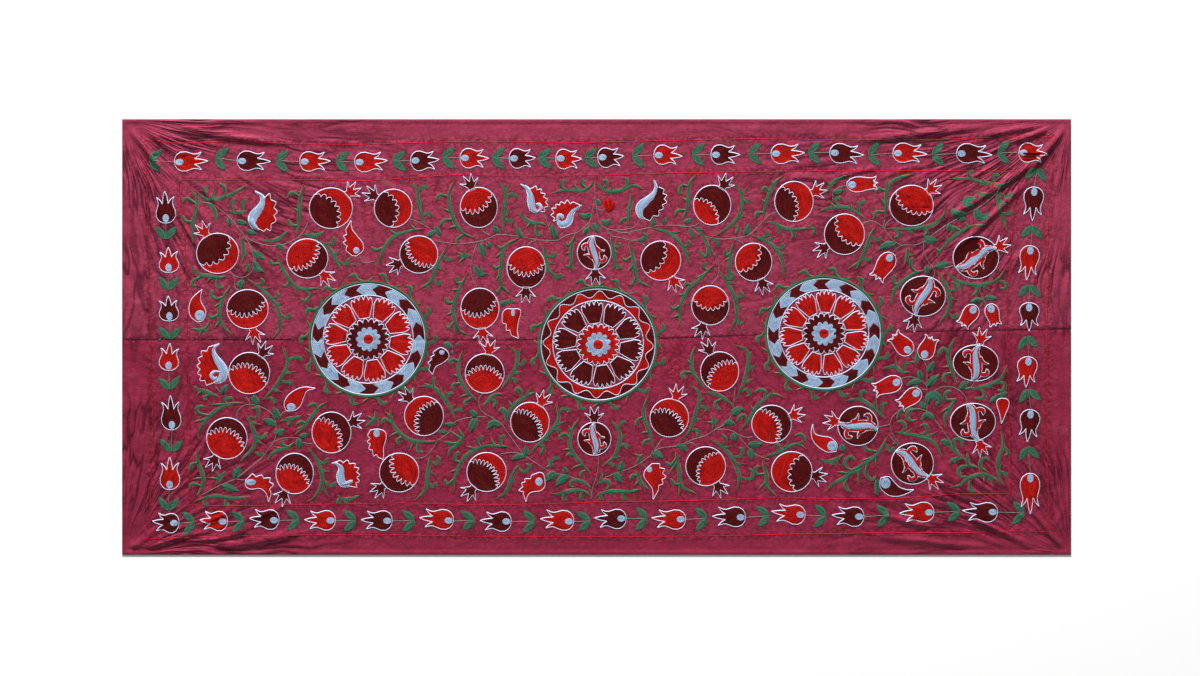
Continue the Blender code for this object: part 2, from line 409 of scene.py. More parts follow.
def curve(points, closed=False):
    """A soft curve through the points, cubic between each two."""
    points = np.asarray(points, dtype=float)
    if closed:
        padded = np.vstack([points[-1:], points, points[:2]])
    else:
        first = 2 * points[0] - points[1]
        last = 2 * points[-1] - points[-2]
        padded = np.vstack([first[None], points, last[None]])
    t = np.linspace(0.0, 1.0, 12, endpoint=False)[:, None]
    pieces = []
    for a, b, c, d in zip(padded, padded[1:], padded[2:], padded[3:]):
        pieces.append(
            0.5 * (2 * b + (c - a) * t + (2 * a - 5 * b + 4 * c - d) * t**2 + (3 * b - a - 3 * c + d) * t**3)
        )
    if not closed:
        pieces.append(points[-1:])
    return resampled(np.concatenate(pieces), CURVE_SPACING, closed)[0]


def directions(points, closed):
    """The unit direction of a line at each of its points, and the one to its left."""
    if closed:
        ahead = np.roll(points, -1, axis=0) - np.roll(points, 1, axis=0)
    else:
        ahead = np.gradient(points, axis=0)
    ahead = ahead / np.maximum(np.linalg.norm(ahead, axis=1, keepdims=True), 1e-9)
    return ahead, np.stack([-ahead[:, 1], ahead[:, 0]], -1)


def add_strip(name, flat, top, travelled, across, closed):
    """A strip of stitch as a closed body: rows of places across a line, each joined to the next.

    travelled is how far along the line each row is, and across how far over the strip each place is.
    """
    stations, sides = across.shape
    index = np.arange(stations * sides).reshape(stations, sides)
    following = np.roll(index, -1, axis=0)
    if not closed:
        index, following = index[:-1], following[:-1]
    triangles = quads_to_triangles(
        index, following, np.roll(following, -1, axis=1), np.roll(index, -1, axis=1)
    )
    if not closed:
        end = (stations - 1) * sides
        fan = [(0, i, i + 1) for i in range(1, sides - 1)]
        caps = fan + [(end, end + b, end + a) for _, a, b in fan]
        triangles = np.concatenate([triangles, np.array(caps)])
    places = np.concatenate([flat, top[:, :, None]], -1).reshape(-1, 3)
    thread(name).add(places, triangles, np.stack([np.repeat(travelled, sides), across.ravel()], -1))


print("lines are followed every", CURVE_SPACING / MM, "mm")


# %% Cords: single lines of chain stitch
CORD_OFFSETS = np.array((-1.0, 0.0, 1.0))
CORD_HEIGHTS = np.array((0.0, 1.0, 0.0))
LOOP_NARROWING = 0.80


def cord(name, points, height, width=3.3, loop=4.2, closed=False, smooth_line=False):
    """A line of chain stitch, its width, height and loop length in millimetres."""
    if smooth_line:
        points = curve(points, closed)
    line, travelled = resampled(points, loop * MM / 2, closed)
    _, aside = directions(line, closed)
    swell = np.where(np.arange(len(line)) % 2 == 0, 1.0, LOOP_NARROWING)
    across = CORD_OFFSETS[None, :] * (width * MM / 2) * swell[:, None]
    flat = line[:, None, :] + aside[:, None, :] * across[:, :, None]
    base = surface(line[:, 0], line[:, 1])[:, None] + np.zeros_like(across)
    base[:, 0] = surface(flat[:, 0, 0], flat[:, 0, 1]) - SINK
    base[:, -1] = surface(flat[:, -1, 0], flat[:, -1, 1]) - SINK
    top = base + CORD_HEIGHTS[None, :] * (height * MM) * swell[:, None]
    add_strip(name, flat, top, travelled, across + width * MM / 2, closed)


print("a cord has", len(CORD_OFFSETS), "sides")

# %% Pads: filled shapes
PAD_SPACING = 0.0034
PAD_EDGE = 0.0025
PAD_SHOULDER = 0.55
PAD_CLEARANCE = 0.45


def segment_distances(points, outline):
    """For each point, its distance to a closed outline, and how far along that the nearest place is."""
    first = outline
    edge = np.roll(outline, -1, axis=0) - first
    length = np.maximum(np.linalg.norm(edge, axis=1), 1e-9)
    before = np.concatenate([[0.0], np.cumsum(length)[:-1]])
    away = points[:, None, :] - first[None]
    share = np.clip((away * edge[None]).sum(-1) / length[None] ** 2, 0.0, 1.0)
    gap = np.linalg.norm(away - edge[None] * share[:, :, None], axis=-1)
    nearest = gap.argmin(axis=1)
    rows = np.arange(len(points))
    return gap[rows, nearest], before[nearest] + share[rows, nearest] * length[nearest]


def is_within(points, outline):
    """Whether each point lies inside a closed outline."""
    x, y = points[:, 0:1], points[:, 1:2]
    x0, y0 = outline[:, 0][None], outline[:, 1][None]
    x1, y1 = np.roll(x0, -1, axis=1), np.roll(y0, -1, axis=1)
    rising = (y0 > y) != (y1 > y)
    slope = (x1 - x0) / np.where(y1 == y0, 1e-12, y1 - y0)
    return (rising & (x < x0 + (y - y0) * slope)).sum(axis=1) % 2 == 1


def signed_area(outline):
    """The area inside an outline, positive where it runs anticlockwise."""
    x, y = outline[:, 0], outline[:, 1]
    return 0.5 * float(np.sum(x * np.roll(y, -1) - np.roll(x, -1) * y))


def inner_points(outline, spacing):
    """A staggered grid of points inside an outline, clear of its edge."""
    low, high = outline.min(axis=0), outline.max(axis=0)
    row_gap = spacing * math.sqrt(3) / 2
    rows = np.arange(low[1], high[1] + row_gap, row_gap)
    columns = np.arange(low[0], high[0] + spacing, spacing)
    x = columns[None, :] + 0.5 * spacing * (np.arange(len(rows)) % 2)[:, None]
    y = rows[:, None] + np.zeros_like(x)
    grid = np.stack([x.ravel(), y.ravel()], -1)
    grid = grid[is_within(grid, outline)]
    if not len(grid):
        return grid, np.zeros(0), np.zeros(0)
    gap, along = segment_distances(grid, outline)
    clear = gap > PAD_CLEARANCE * spacing
    return grid[clear], gap[clear], along[clear]


def pad(name, outline, height=0.65, spacing=PAD_SPACING, on=0.0):
    """A filled shape of packed chain stitch, its height and that of what it lies on in millimetres."""
    outline, along_edge = resampled(outline, spacing * 0.9, closed=True)
    if signed_area(outline) < 0:
        outline = outline[::-1]
    count = len(outline)
    inner, gap, along = inner_points(outline, spacing)
    flat = np.vstack([outline, inner]) if len(inner) else outline
    edges = [(i, (i + 1) % count) for i in range(count)]
    made = delaunay_2d_cdt([Vector(p) for p in flat], edges, [list(range(count))], 1, 1e-7)
    if len(made[0]) != len(flat):
        print("a pad of", name, "has an outline that crosses itself")
        return
    triangles = np.array(made[2])
    inward = np.concatenate([np.zeros(count), gap])
    rise = PAD_SHOULDER + (1 - PAD_SHOULDER) * smooth(inward / PAD_EDGE)
    top = surface(flat[:, 0], flat[:, 1])
    upper = np.column_stack([flat, top + (on + rise * height) * MM])
    foot = np.column_stack([outline, top[:count] - SINK])
    under = np.array(tessellate_polygon([[Vector((p[0], p[1], 0.0)) for p in outline]]))
    under_area = 0.5 * np.cross(
        outline[under[:, 1]] - outline[under[:, 0]], outline[under[:, 2]] - outline[under[:, 0]]
    )
    under = np.where(under_area[:, None] > 0, under[:, ::-1], under) + len(flat)
    rim = np.arange(count)
    following = np.roll(rim, -1)
    skirt = quads_to_triangles(rim, rim + len(flat), following + len(flat), following)
    across = np.concatenate([np.zeros(count), gap, np.zeros(count)])
    run = np.concatenate([along_edge, along, along_edge])
    thread(name).add(
        np.vstack([upper, foot]), np.concatenate([triangles, skirt, under]), np.stack([run, across], -1)
    )


print("a pad's points lie", PAD_SPACING / MM, "mm apart")

# %% [markdown]
# Colours. Silk takes a deep dye and shines along the thread. The names below are the thread's own colours;
# the outline is pale blue, near white where it catches the light.

# %% Thread colours
BLUE, RED, MAROON, GREEN, GREY_GREEN = "blue", "red", "maroon", "green", "grey_green"
LETTERS = {"R": RED, "D": MAROON, "B": BLUE}
OUTLINE = "pale_outline"
FINE_RED = "fine_red"
print("letters of the tables:", LETTERS)

# %% [markdown]
# Shapes shared by the motifs. An ellipse and a leaf are formulas. A motif is drawn from the origin,
# pointing along +X, in millimetres, and then turned and moved to its place. A filled shape with a pale
# outline and a blue ball laid on a shape come back in many motifs, so each is a function here.

# %% Place a motif's drawing on the cloth
LEAF_STEPS, LEAF_BELLY = 12, 0.45
OUTLINE_HEIGHT = 1.1
BALL_HEIGHT, BALL_ON = 0.3, 0.6


def turned_by(points, degrees):
    """Points turned about the origin."""
    turn = math.radians(degrees)
    return np.asarray(points) @ np.array(
        ((math.cos(turn), math.sin(turn)), (-math.sin(turn), math.cos(turn)))
    )


def placed(points, centre, degrees):
    """Points of a drawing in millimetres, turned by degrees and moved to a place on the cloth."""
    return turned_by(np.asarray(points, dtype=float) * MM, degrees) + np.asarray(centre)


def ellipse(along, across, steps=28):
    """An ellipse in millimetres."""
    turn = np.linspace(0, 2 * np.pi, steps, endpoint=False)
    return np.stack([along * np.cos(turn), across * np.sin(turn)], -1)


def both_halves(half, above, below):
    """A closed outline from its upper half, with how each half is stretched."""
    half = np.array(half)
    return np.vstack([half * above, half[-2:0:-1] * below])


def leaf_outline(length, width):
    """A pointed leaf from the origin along +X."""
    t = np.linspace(0, 1, LEAF_STEPS + 1)
    half = width / 2 * np.sin(np.pi * t ** (math.log(0.5) / math.log(LEAF_BELLY))) ** 0.9
    upper = np.stack([t * length, half], -1)
    lower = np.stack([t[1:-1] * length, -half[1:-1]], -1)[::-1]
    return np.vstack([upper, lower])


def heading_of(start, end):
    """The direction from one place to another, in degrees."""
    away = np.asarray(end) - np.asarray(start)
    return math.degrees(math.atan2(away[1], away[0]))


def outlined(colour, outline, width=3.3, loop=4.2):
    """A filled shape with a pale outline."""
    pad(colour, outline)
    cord(OUTLINE, outline, OUTLINE_HEIGHT, width, loop, closed=True)


def ball(centre, along, across, heading):
    """A pale blue ball, laid on the shape under it."""
    pad(BLUE, placed(ellipse(along, across), centre, heading), height=BALL_HEIGHT, on=BALL_ON)


print("outlines stand", OUTLINE_HEIGHT, "mm high")

# %% [markdown]
# The border. Two thin red lines of stitch frame it, and between them tulips follow one another head to
# tail, red and dark maroon in turn. Each has a pair of leaves, a thin stem, a pale blue ball at its base
# and a body that opens into pointed lobes with one long tip. The stitcher drew each a little differently,
# so a table holds the place of its leaves, its ball and its tip, and one function draws it between them.

# %% A tulip of the border
TULIP_BODY = [
    (-1, 0), (0.5, 9), (6, 17), (15, 22), (27, 22.5), (38, 19), (46, 16.5), (54, 17), (65, 21), (57, 12),
    (47, 6.5), (57, 5.5), (68, 3.6), (80, 0.0),
]  # fmt: skip
TULIP_LENGTH = 80
TULIP_BALL = (10.5, 9.5, 7.5)
TULIP_LEAF_LENGTH, TULIP_LEAF_WIDTH, TULIP_LEAF_ANGLE = 40, 16.5, 40
STEM_WIDTH, STEM_HEIGHT = 2.6, 0.7


def tulip(row, uneven):
    """One tulip with its leaves and stem, from its row and its share of unevenness."""
    named = dict(zip(TULIP_COLUMNS, row))
    leaves = on_cloth(named["leaf_x"], named["leaf_y"])
    middle = on_cloth(named["ball_x"], named["ball_y"])
    tip = on_cloth(named["tip_x"], named["tip_y"])
    heading = heading_of(middle, tip)
    reach = np.linalg.norm(tip - middle) / MM
    stretch = np.array(((reach + TULIP_BALL[0]) / TULIP_LENGTH, 1.0))
    base = middle - (tip - middle) / reach * TULIP_BALL[0]
    above = stretch * np.array((1.0, 1.0 + 0.06 * uneven))
    below = stretch * np.array((1.0 - 0.03 * uneven, -1.0 + 0.08 * uneven))
    outlined(LETTERS[named["colour"]], placed(both_halves(TULIP_BODY, above, below), base, heading))
    ball(middle, TULIP_BALL[1], TULIP_BALL[2], heading)
    stem_heading = heading_of(leaves, base)
    for side in (1, -1):
        angle = stem_heading + side * (TULIP_LEAF_ANGLE + 5 * uneven)
        outline = leaf_outline(TULIP_LEAF_LENGTH * (1 + 0.05 * side * uneven), TULIP_LEAF_WIDTH)
        pad(GREEN, placed(outline, leaves, angle))
    cord(GREY_GREEN, [leaves, base], width=STEM_WIDTH, height=STEM_HEIGHT, loop=3.6)


# %% Where the tulips stand
TULIP_COLUMNS = ("leaf_x", "leaf_y", "ball_x", "ball_y", "tip_x", "tip_y", "colour")
TULIPS_TOP = [
    (149.3, 160.2, 179.6, 162.3, 208.3, 161.3, "R"), (215.4, 157.8, 242.2, 161.3, 270.9, 161.8, "D"),
    (276, 160.7, 304.7, 161.8, 330.6, 161.3, "R"), (335.8, 161, 359.6, 162.3, 387.7, 160.7, "R"),
    (392.5, 161, 415.6, 160.7, 439.2, 159.7, "D"), (441.9, 157.8, 465, 158.2, 488.6, 158.6, "R"),
    (491.8, 157.8, 514.1, 158.6, 535.6, 158.2, "D"), (538, 157.8, 560.7, 158.6, 581.7, 159.1, "R"),
    (584.3, 157.8, 602.6, 157.5, 623.7, 156.2, "D"), (632.5, 156.6, 658.8, 155.4, 682.4, 156.6, "R"),
    (691.9, 154.6, 715.9, 155, 740.1, 155, "D"), (748.1, 153.4, 776, 153.8, 804.7, 153, "R"),
    (807.9, 153, 834.7, 153, 863.8, 155.4, "D"), (868.3, 155.1, 897.8, 153.4, 927.3, 154.6, "R"),
    (932, 155.1, 961.5, 153.8, 992.3, 155.4, "D"), (997.4, 153, 1023.7, 153, 1047.6, 154.6, "R"),
]  # fmt: skip
TULIPS_RIGHT = [
    (1037.3, 167.4, 1034.1, 192.1, 1032.2, 221.1, "D"), (1032.5, 225.6, 1030.3, 250.8, 1026.4, 280.5, "R"),
    (1029.4, 284.6, 1029, 307.7, 1029, 331.4, "D"), (1027.4, 335.7, 1028.3, 361.8, 1025.8, 387.6, "R"),
    (1028.4, 389.2, 1030.4, 414.7, 1027, 442.1, "D"), (1028.2, 446.6, 1030.2, 478.4, 1030.1, 514.2, "R"),
]  # fmt: skip
TULIPS_BOTTOM = [
    (1024.4, 512.8, 992.6, 512.1, 962.1, 510.7, "D"), (960.3, 511.4, 929, 512.5, 899.3, 513.5, "R"),
    (888.8, 514.9, 859, 516.7, 831.6, 515.2, "D"), (826.5, 516.1, 800.3, 514.8, 771.4, 511.4, "R"),
    (770, 515.7, 740.6, 517.4, 712.3, 516.5, "D"), (707.4, 518.3, 680.7, 519.3, 651.3, 518, "R"),
    (647.7, 518.3, 621.3, 518.6, 594.4, 518, "D"), (591, 520.8, 568.9, 521.5, 540.3, 519, "R"),
    (535.1, 521.2, 506.4, 521.5, 480.1, 520.6, "D"), (475, 520.3, 448.6, 520.6, 419.5, 518, "R"),
    (415.1, 520.8, 387.4, 520.8, 361, 519.9, "D"), (356.5, 520.8, 330.6, 520.6, 304.5, 519.9, "R"),
    (300, 519.9, 274.2, 520.3, 249.6, 518.4, "D"), (244.8, 520.8, 222.8, 521.6, 199.8, 520.2, "R"),
    (195.1, 522.1, 174.3, 523.1, 152.6, 521.2, "D"),
]  # fmt: skip
TULIPS_LEFT = [
    (166, 239.5, 166, 218.4, 164.9, 191.3, "D"), (167.9, 290.2, 168.8, 267.8, 168.3, 247.4, "R"),
    (169.8, 339.3, 169.6, 316.3, 168.3, 295.9, "D"), (169.8, 389.7, 168.8, 365.7, 170.1, 343.4, "R"),
    (171.1, 451.9, 172.1, 425, 170.5, 395.3, "D"), (167.6, 510.6, 169.8, 484.8, 169.8, 457, "R"),
]  # fmt: skip
tulip_draw = np.random.default_rng(5)
all_tulips = TULIPS_TOP + TULIPS_RIGHT + TULIPS_BOTTOM + TULIPS_LEFT
for row in all_tulips:
    tulip(row, float(tulip_draw.uniform(-1, 1)))
print(len(all_tulips), "tulips")

# %% [markdown]
# Pomegranates. Each is a round fruit, outlined in pale blue and split in two colours by a scalloped line,
# with a crown of pointed sepals. The heart is a scalloped disc that reaches in from one side, and the
# shell is what is left of the fruit. A table gives each fruit's place, size, the way its crown points
# and the side that its heart is on; the line between heart and shell is worked out from two circles.

# %% The line between heart and shell
HEART_RADIUS = 1.05
HEART_DEPTHS = {"U": 0.19, "V": 0.27}
CROWN_WIDTH, CROWN_LENGTH, CROWN_SEPALS = 17, 42, 4
CROWN_SPREAD = 50
CROWN_ROOT, CROWN_NECK, CROWN_DIP = 0.965, 7, 20
CROWN_SPACING = PAD_SPACING * 0.8
RIM_STEPS = 30


def heart_line(radii, heart_degrees, reach, scallops, edge):
    """Points of the scalloped line across a fruit, in millimetres, and the angles where it meets the rim.

    reach is how far the heart comes in from its side, as a share of the fruit's width, and edge says
    whether the scallops are round or pointed. The fruit's own radius is 1 until the last line.
    """
    offset = HEART_RADIUS + 1.0 - 2 * reach
    meet = math.acos((1.0 + offset**2 - HEART_RADIUS**2) / (2 * offset))
    spread = math.asin(min(1.0, math.sin(meet) / HEART_RADIUS))
    if offset < math.cos(meet):
        spread = math.pi - spread
    t = np.linspace(0, 1, scallops * 6 + 1)
    wave = np.abs(np.sin(np.pi * scallops * t)) ** 0.8
    swell = HEART_RADIUS + HEART_DEPTHS[edge] * (wave - 0.6) * np.minimum(1.0, 8 * np.minimum(t, 1 - t))
    turn = math.pi - spread + 2 * spread * t
    line = np.stack([offset + swell * np.cos(turn), swell * np.sin(turn)], -1)
    line[0] = (math.cos(meet), math.sin(meet))
    line[-1] = (math.cos(meet), -math.sin(meet))
    return turned_by(line, heart_degrees) * np.array(radii), meet


def rim_points(radii, first, last):
    """Points on the fruit's rim between two angles, in radians."""
    turn = np.linspace(first, last, RIM_STEPS)
    return np.stack([radii[0] * np.cos(turn), radii[1] * np.sin(turn)], -1)


def crown(colour, radius, centre, degrees):
    """The crown: a short neck on the rim that opens into a fan of pointed sepals."""
    root = radius * CROWN_ROOT
    points = [(root, -CROWN_WIDTH / 2), (root + CROWN_NECK, -CROWN_WIDTH * 0.44)]
    spread = np.linspace(-CROWN_SPREAD, CROWN_SPREAD, CROWN_SEPALS)
    for i, sepal in enumerate(spread):
        tall = CROWN_LENGTH * (1.0 - 0.14 * abs(sepal) / CROWN_SPREAD)
        turn = math.radians(sepal)
        points.append((root + tall * math.cos(turn), tall * math.sin(turn) * 0.84))
        if i < CROWN_SEPALS - 1:
            between = math.radians((sepal + spread[i + 1]) / 2)
            points.append((root + CROWN_DIP * math.cos(between), CROWN_DIP * math.sin(between) * 0.86))
    points += [(root + CROWN_NECK, CROWN_WIDTH * 0.44), (root, CROWN_WIDTH / 2)]
    outline = placed(points, centre, degrees)
    pad(colour, outline, spacing=CROWN_SPACING)
    cord(OUTLINE, outline, height=1.0, closed=True, width=2.6)


def pomegranate(row):
    """One whole fruit from its row of the table."""
    named = dict(zip(POMEGRANATE_COLUMNS, row))
    centre = on_cloth(named["x"], named["y"])
    radii = np.array((named["wide"], named["tall"])) * PIXEL / MM
    line, meet = heart_line(radii, named["heart"], named["reach"], named["scallops"], named["edge"])
    facing = math.radians(named["heart"])
    near = rim_points(radii, facing - meet, facing + meet)
    far = rim_points(radii, facing + meet, facing + 2 * math.pi - meet)
    colours = [LETTERS[letter] for letter in named["colours"]]
    pad(colours[0], placed(np.vstack([near, line[1:-1]]), centre, 0))
    pad(colours[1], placed(np.vstack([far, line[-2:0:-1]]), centre, 0))
    crown(colours[2], float(np.mean(radii)), centre, named["crown"])
    cord(OUTLINE, placed(line, centre, 0), height=1.15, width=2.8, loop=3.0)
    cord(OUTLINE, placed(ellipse(radii[0], radii[1], 60), centre, 0), height=1.2, closed=True)


print("a crown opens to", 2 * CROWN_SPREAD, "degrees")

# %% Where the pomegranates lie
POMEGRANATE_COLUMNS = ("x", "y", "wide", "tall", "crown", "heart", "reach", "scallops", "edge", "colours")
POMEGRANATES = [
    (331.0, 208.4, 21.5, 20.3, 40, 210, 0.65, 8, "U", "DRR"),
    (217.8, 253.5, 21.0, 20.0, 122, 135, 0.68, 7, "U", "DRR"),
    (307.4, 258.6, 20.5, 19.5, 315, 135, 0.66, 10, "V", "RDR"),
    (393.3, 208.4, 18.8, 19.0, 147, 190, 0.62, 7, "U", "DRD"),
    (418.9, 254.6, 19.0, 18.6, 205, 45, 0.72, 11, "V", "RDD"),
    (478.9, 207.6, 18.5, 20.0, 110, 115, 0.58, 8, "V", "RDD"),
    (526.3, 267.6, 19.2, 20.6, 269, 90, 0.68, 10, "V", "RDD"),
    (660.9, 260.8, 19.9, 19.6, 302, 150, 0.56, 7, "U", "DRR"),
    (480.0, 308.8, 19.0, 20.4, 276, 105, 0.66, 10, "V", "DRR"),
    (712.2, 205.3, 18.6, 19.8, 60, 225, 0.50, 8, "U", "RDD"),
    (794.0, 201.6, 19.2, 20.0, 25, 200, 0.56, 8, "U", "DRR"),
    (753.6, 262.2, 18.2, 18.8, 292, 140, 0.58, 7, "U", "RDD"),
    (844.5, 234.4, 20.0, 20.2, 214, 40, 0.62, 8, "U", "RDD"),
    (710.4, 305.5, 18.6, 19.6, 250, 90, 0.60, 8, "U", "RDD"),
    (911.4, 205.7, 21.8, 20.2, 40, 60, 0.66, 9, "U", "RDR"),
    (247.7, 309.3, 20.6, 19.5, 285, 105, 0.66, 10, "V", "DRR"),
    (249.3, 373.2, 20.4, 20.6, 56, 250, 0.68, 11, "V", "RDD"),
    (227.0, 438.4, 20.2, 20.6, 240, 250, 0.70, 11, "V", "RDD"),
    (331.6, 432.6, 19.4, 20.4, 26, 215, 0.68, 10, "V", "RDD"),
    (424.1, 416.1, 19.4, 19.6, 130, 330, 0.66, 11, "V", "DRD"),
    (484.8, 373.6, 19.4, 19.6, 79, 265, 0.66, 11, "V", "RDR"),
    (530.0, 422.3, 19.2, 19.8, 60, 225, 0.68, 12, "V", "DRR"),
    (669.4, 418.0, 19.2, 19.0, 72, 240, 0.66, 11, "V", "DRR"),
    (719.7, 371.6, 19.0, 19.6, 116, 310, 0.66, 11, "V", "RDD"),
    (771.6, 424.2, 19.8, 18.8, 22, 205, 0.68, 11, "V", "RDR"),
    (294.8, 473.6, 18.7, 20.2, 243, 245, 0.66, 11, "V", "RDD"),
    (399.3, 472.6, 19.6, 19.4, 220, 35, 0.64, 9, "V", "RDD"),
    (486.6, 472.1, 19.6, 19.4, 230, 225, 0.68, 12, "V", "DRD"),
    (705.7, 466.4, 19.8, 19.4, 302, 330, 0.66, 11, "U", "RDD"),
    (791.8, 471.8, 20.3, 20.0, 350, 350, 0.56, 7, "U", "DRD"),
]  # fmt: skip
for row in POMEGRANATES:
    pomegranate(row)
print(len(POMEGRANATES), "whole pomegranates")

# %% [markdown]
# Strokes. The green sprays, the stems' leaves and the bands inside the cut fruits are all strokes: a few
# rows of chain stitch that widen and narrow along a curve. A stroke could be a filled outline like the
# pads, but a hook that curls back on itself would cross its own outline. So a stroke is a ribbon along its
# middle line, with a width that follows one of four profiles, and a wider, lower ribbon under it gives its
# thin border.

# %% Ribbons of stitch
RIBBON_OFFSETS = np.array((-1.0, -0.80, 0.0, 0.80, 1.0))
RIBBON_HEIGHTS = np.array((0.0, 0.88, 1.0, 0.88, 0.0))
RIBBON_SPACING = 0.0034
RIBBON_SPARE = 0.00015


def profile(kind, t):
    """The share of its full width that a stroke has along it."""
    if kind == "body":
        return np.sin(np.pi * t) ** 0.6
    if kind == "thorn":
        return (1.0 - t**1.6) * (0.75 + 0.25 * (1 - t))
    if kind == "leaf":
        return np.sin(np.pi * t**0.8) ** 0.75
    if kind == "drop":
        return np.sin(np.pi * t**1.7) ** 0.7
    if kind == "even":
        return np.ones_like(t)
    end = np.clip((t - 0.72) / 0.28, 0.0, 1.0)
    return (0.48 + 0.52 * smooth(t / 0.6)) * np.sqrt(1.0 - end**2)


def ribbon(name, points, kind, width, height, border=0.0, closed=False, on=0.0):
    """A stroke along a soft curve, its full width, height, border and what it lies on in millimetres."""
    line, travelled = resampled(curve(points, closed), RIBBON_SPACING, closed)
    t = travelled / max(travelled[-1], 1e-9)
    half = (profile(kind, np.clip(t, 0, 1)) * width / 2 + border) * MM + RIBBON_SPARE
    ahead, aside = directions(line, closed)
    if border and not closed:
        line[0] -= ahead[0] * border * MM
        line[-1] += ahead[-1] * border * MM
    across = RIBBON_OFFSETS[None, :] * half[:, None]
    flat = line[:, None, :] + aside[:, None, :] * across[:, :, None]
    ground = surface(flat[:, :, 0].ravel(), flat[:, :, 1].ravel()).reshape(across.shape)
    narrow = np.minimum(1.0, 0.45 + half / (1.6 * MM))
    top = ground + (on + RIBBON_HEIGHTS[None, :] * height * narrow[:, None]) * MM
    top[:, ::4] -= SINK
    add_strip(name, flat, top, travelled, across + half.max(), closed)


print("a ribbon's rows lie", RIBBON_SPACING / MM, "mm apart")

# %% [markdown]
# Reading places. The photograph was looked at in twenty enlarged windows, each pixel eight times its size.
# A place noted on one of them keeps the window's own numbers, in tens, so that it can be checked by eye
# against the same window again. Window -1 is the whole photograph at its own size.

# %% Places noted on the windows
WINDOW_LEFTS = (140, 318, 496, 674, 852)
WINDOW_TOPS = (143, 240, 337, 434)
WINDOW_SCALE = 0.8


def rows_of(columns, table):
    """The rows of a table written as text: columns parted by bars, rows by semicolons."""
    rows = [row.split("|") for row in table.split(";")]
    assert all(len(row) == len(columns) for row in rows)
    return [(int(row[0]), *row[1:]) for row in rows]


def reading(window, text):
    """Places on the cloth from places noted on one window, written as across,down across,down."""
    places = np.array([tuple(map(float, part.split(","))) for part in text.split()])
    if window >= 0:
        corner = (WINDOW_LEFTS[window % 5], WINDOW_TOPS[window // 5])
        places = places / WINDOW_SCALE + np.array(corner)
    return [on_cloth(across, down) for across, down in places]


print(len(WINDOW_LEFTS) * len(WINDOW_TOPS), "windows")

# %% [markdown]
# Sprays. Between the fruits run the sprays that a knife blade or a pepper pod has become in this craft: a
# green body that tapers at both ends, with thorns and curled hooks on one side, and a thin red border.
# Each row of the table holds the window, the body's places, and its hooks, a t before a thorn and a c
# before a curl.

# %% Draw a spray
SPRAY_BODY, SPRAY_THORN, SPRAY_CURL = 10.5, 9.5, 9.6
SPRAY_BORDER = 1.15
HOOK_REACH = 1.12


def stroke(
    points, kind, width, colour=GREEN, border_colour=FINE_RED, border=SPRAY_BORDER, height=0.55, on=0.0
):
    """One stroke with its border under it."""
    ribbon(colour, points, kind, width, height, on=on)
    if border:
        ribbon(border_colour, points, kind, width, height * 0.45, border, on=on)


def spray(window, body, hooks):
    """A green spray from its row."""
    stroke(reading(window, body), "body", SPRAY_BODY)
    for hook in filter(None, (part.strip() for part in hooks.split("/"))):
        kind, places = hook[0], np.array(reading(window, hook[1:]))
        places = places[0] + (places - places[0]) * HOOK_REACH
        if kind == "t":
            stroke(places, "thorn", SPRAY_THORN)
        else:
            stroke(places, "curl", SPRAY_CURL)


print("a spray's body is", SPRAY_BODY, "mm wide")

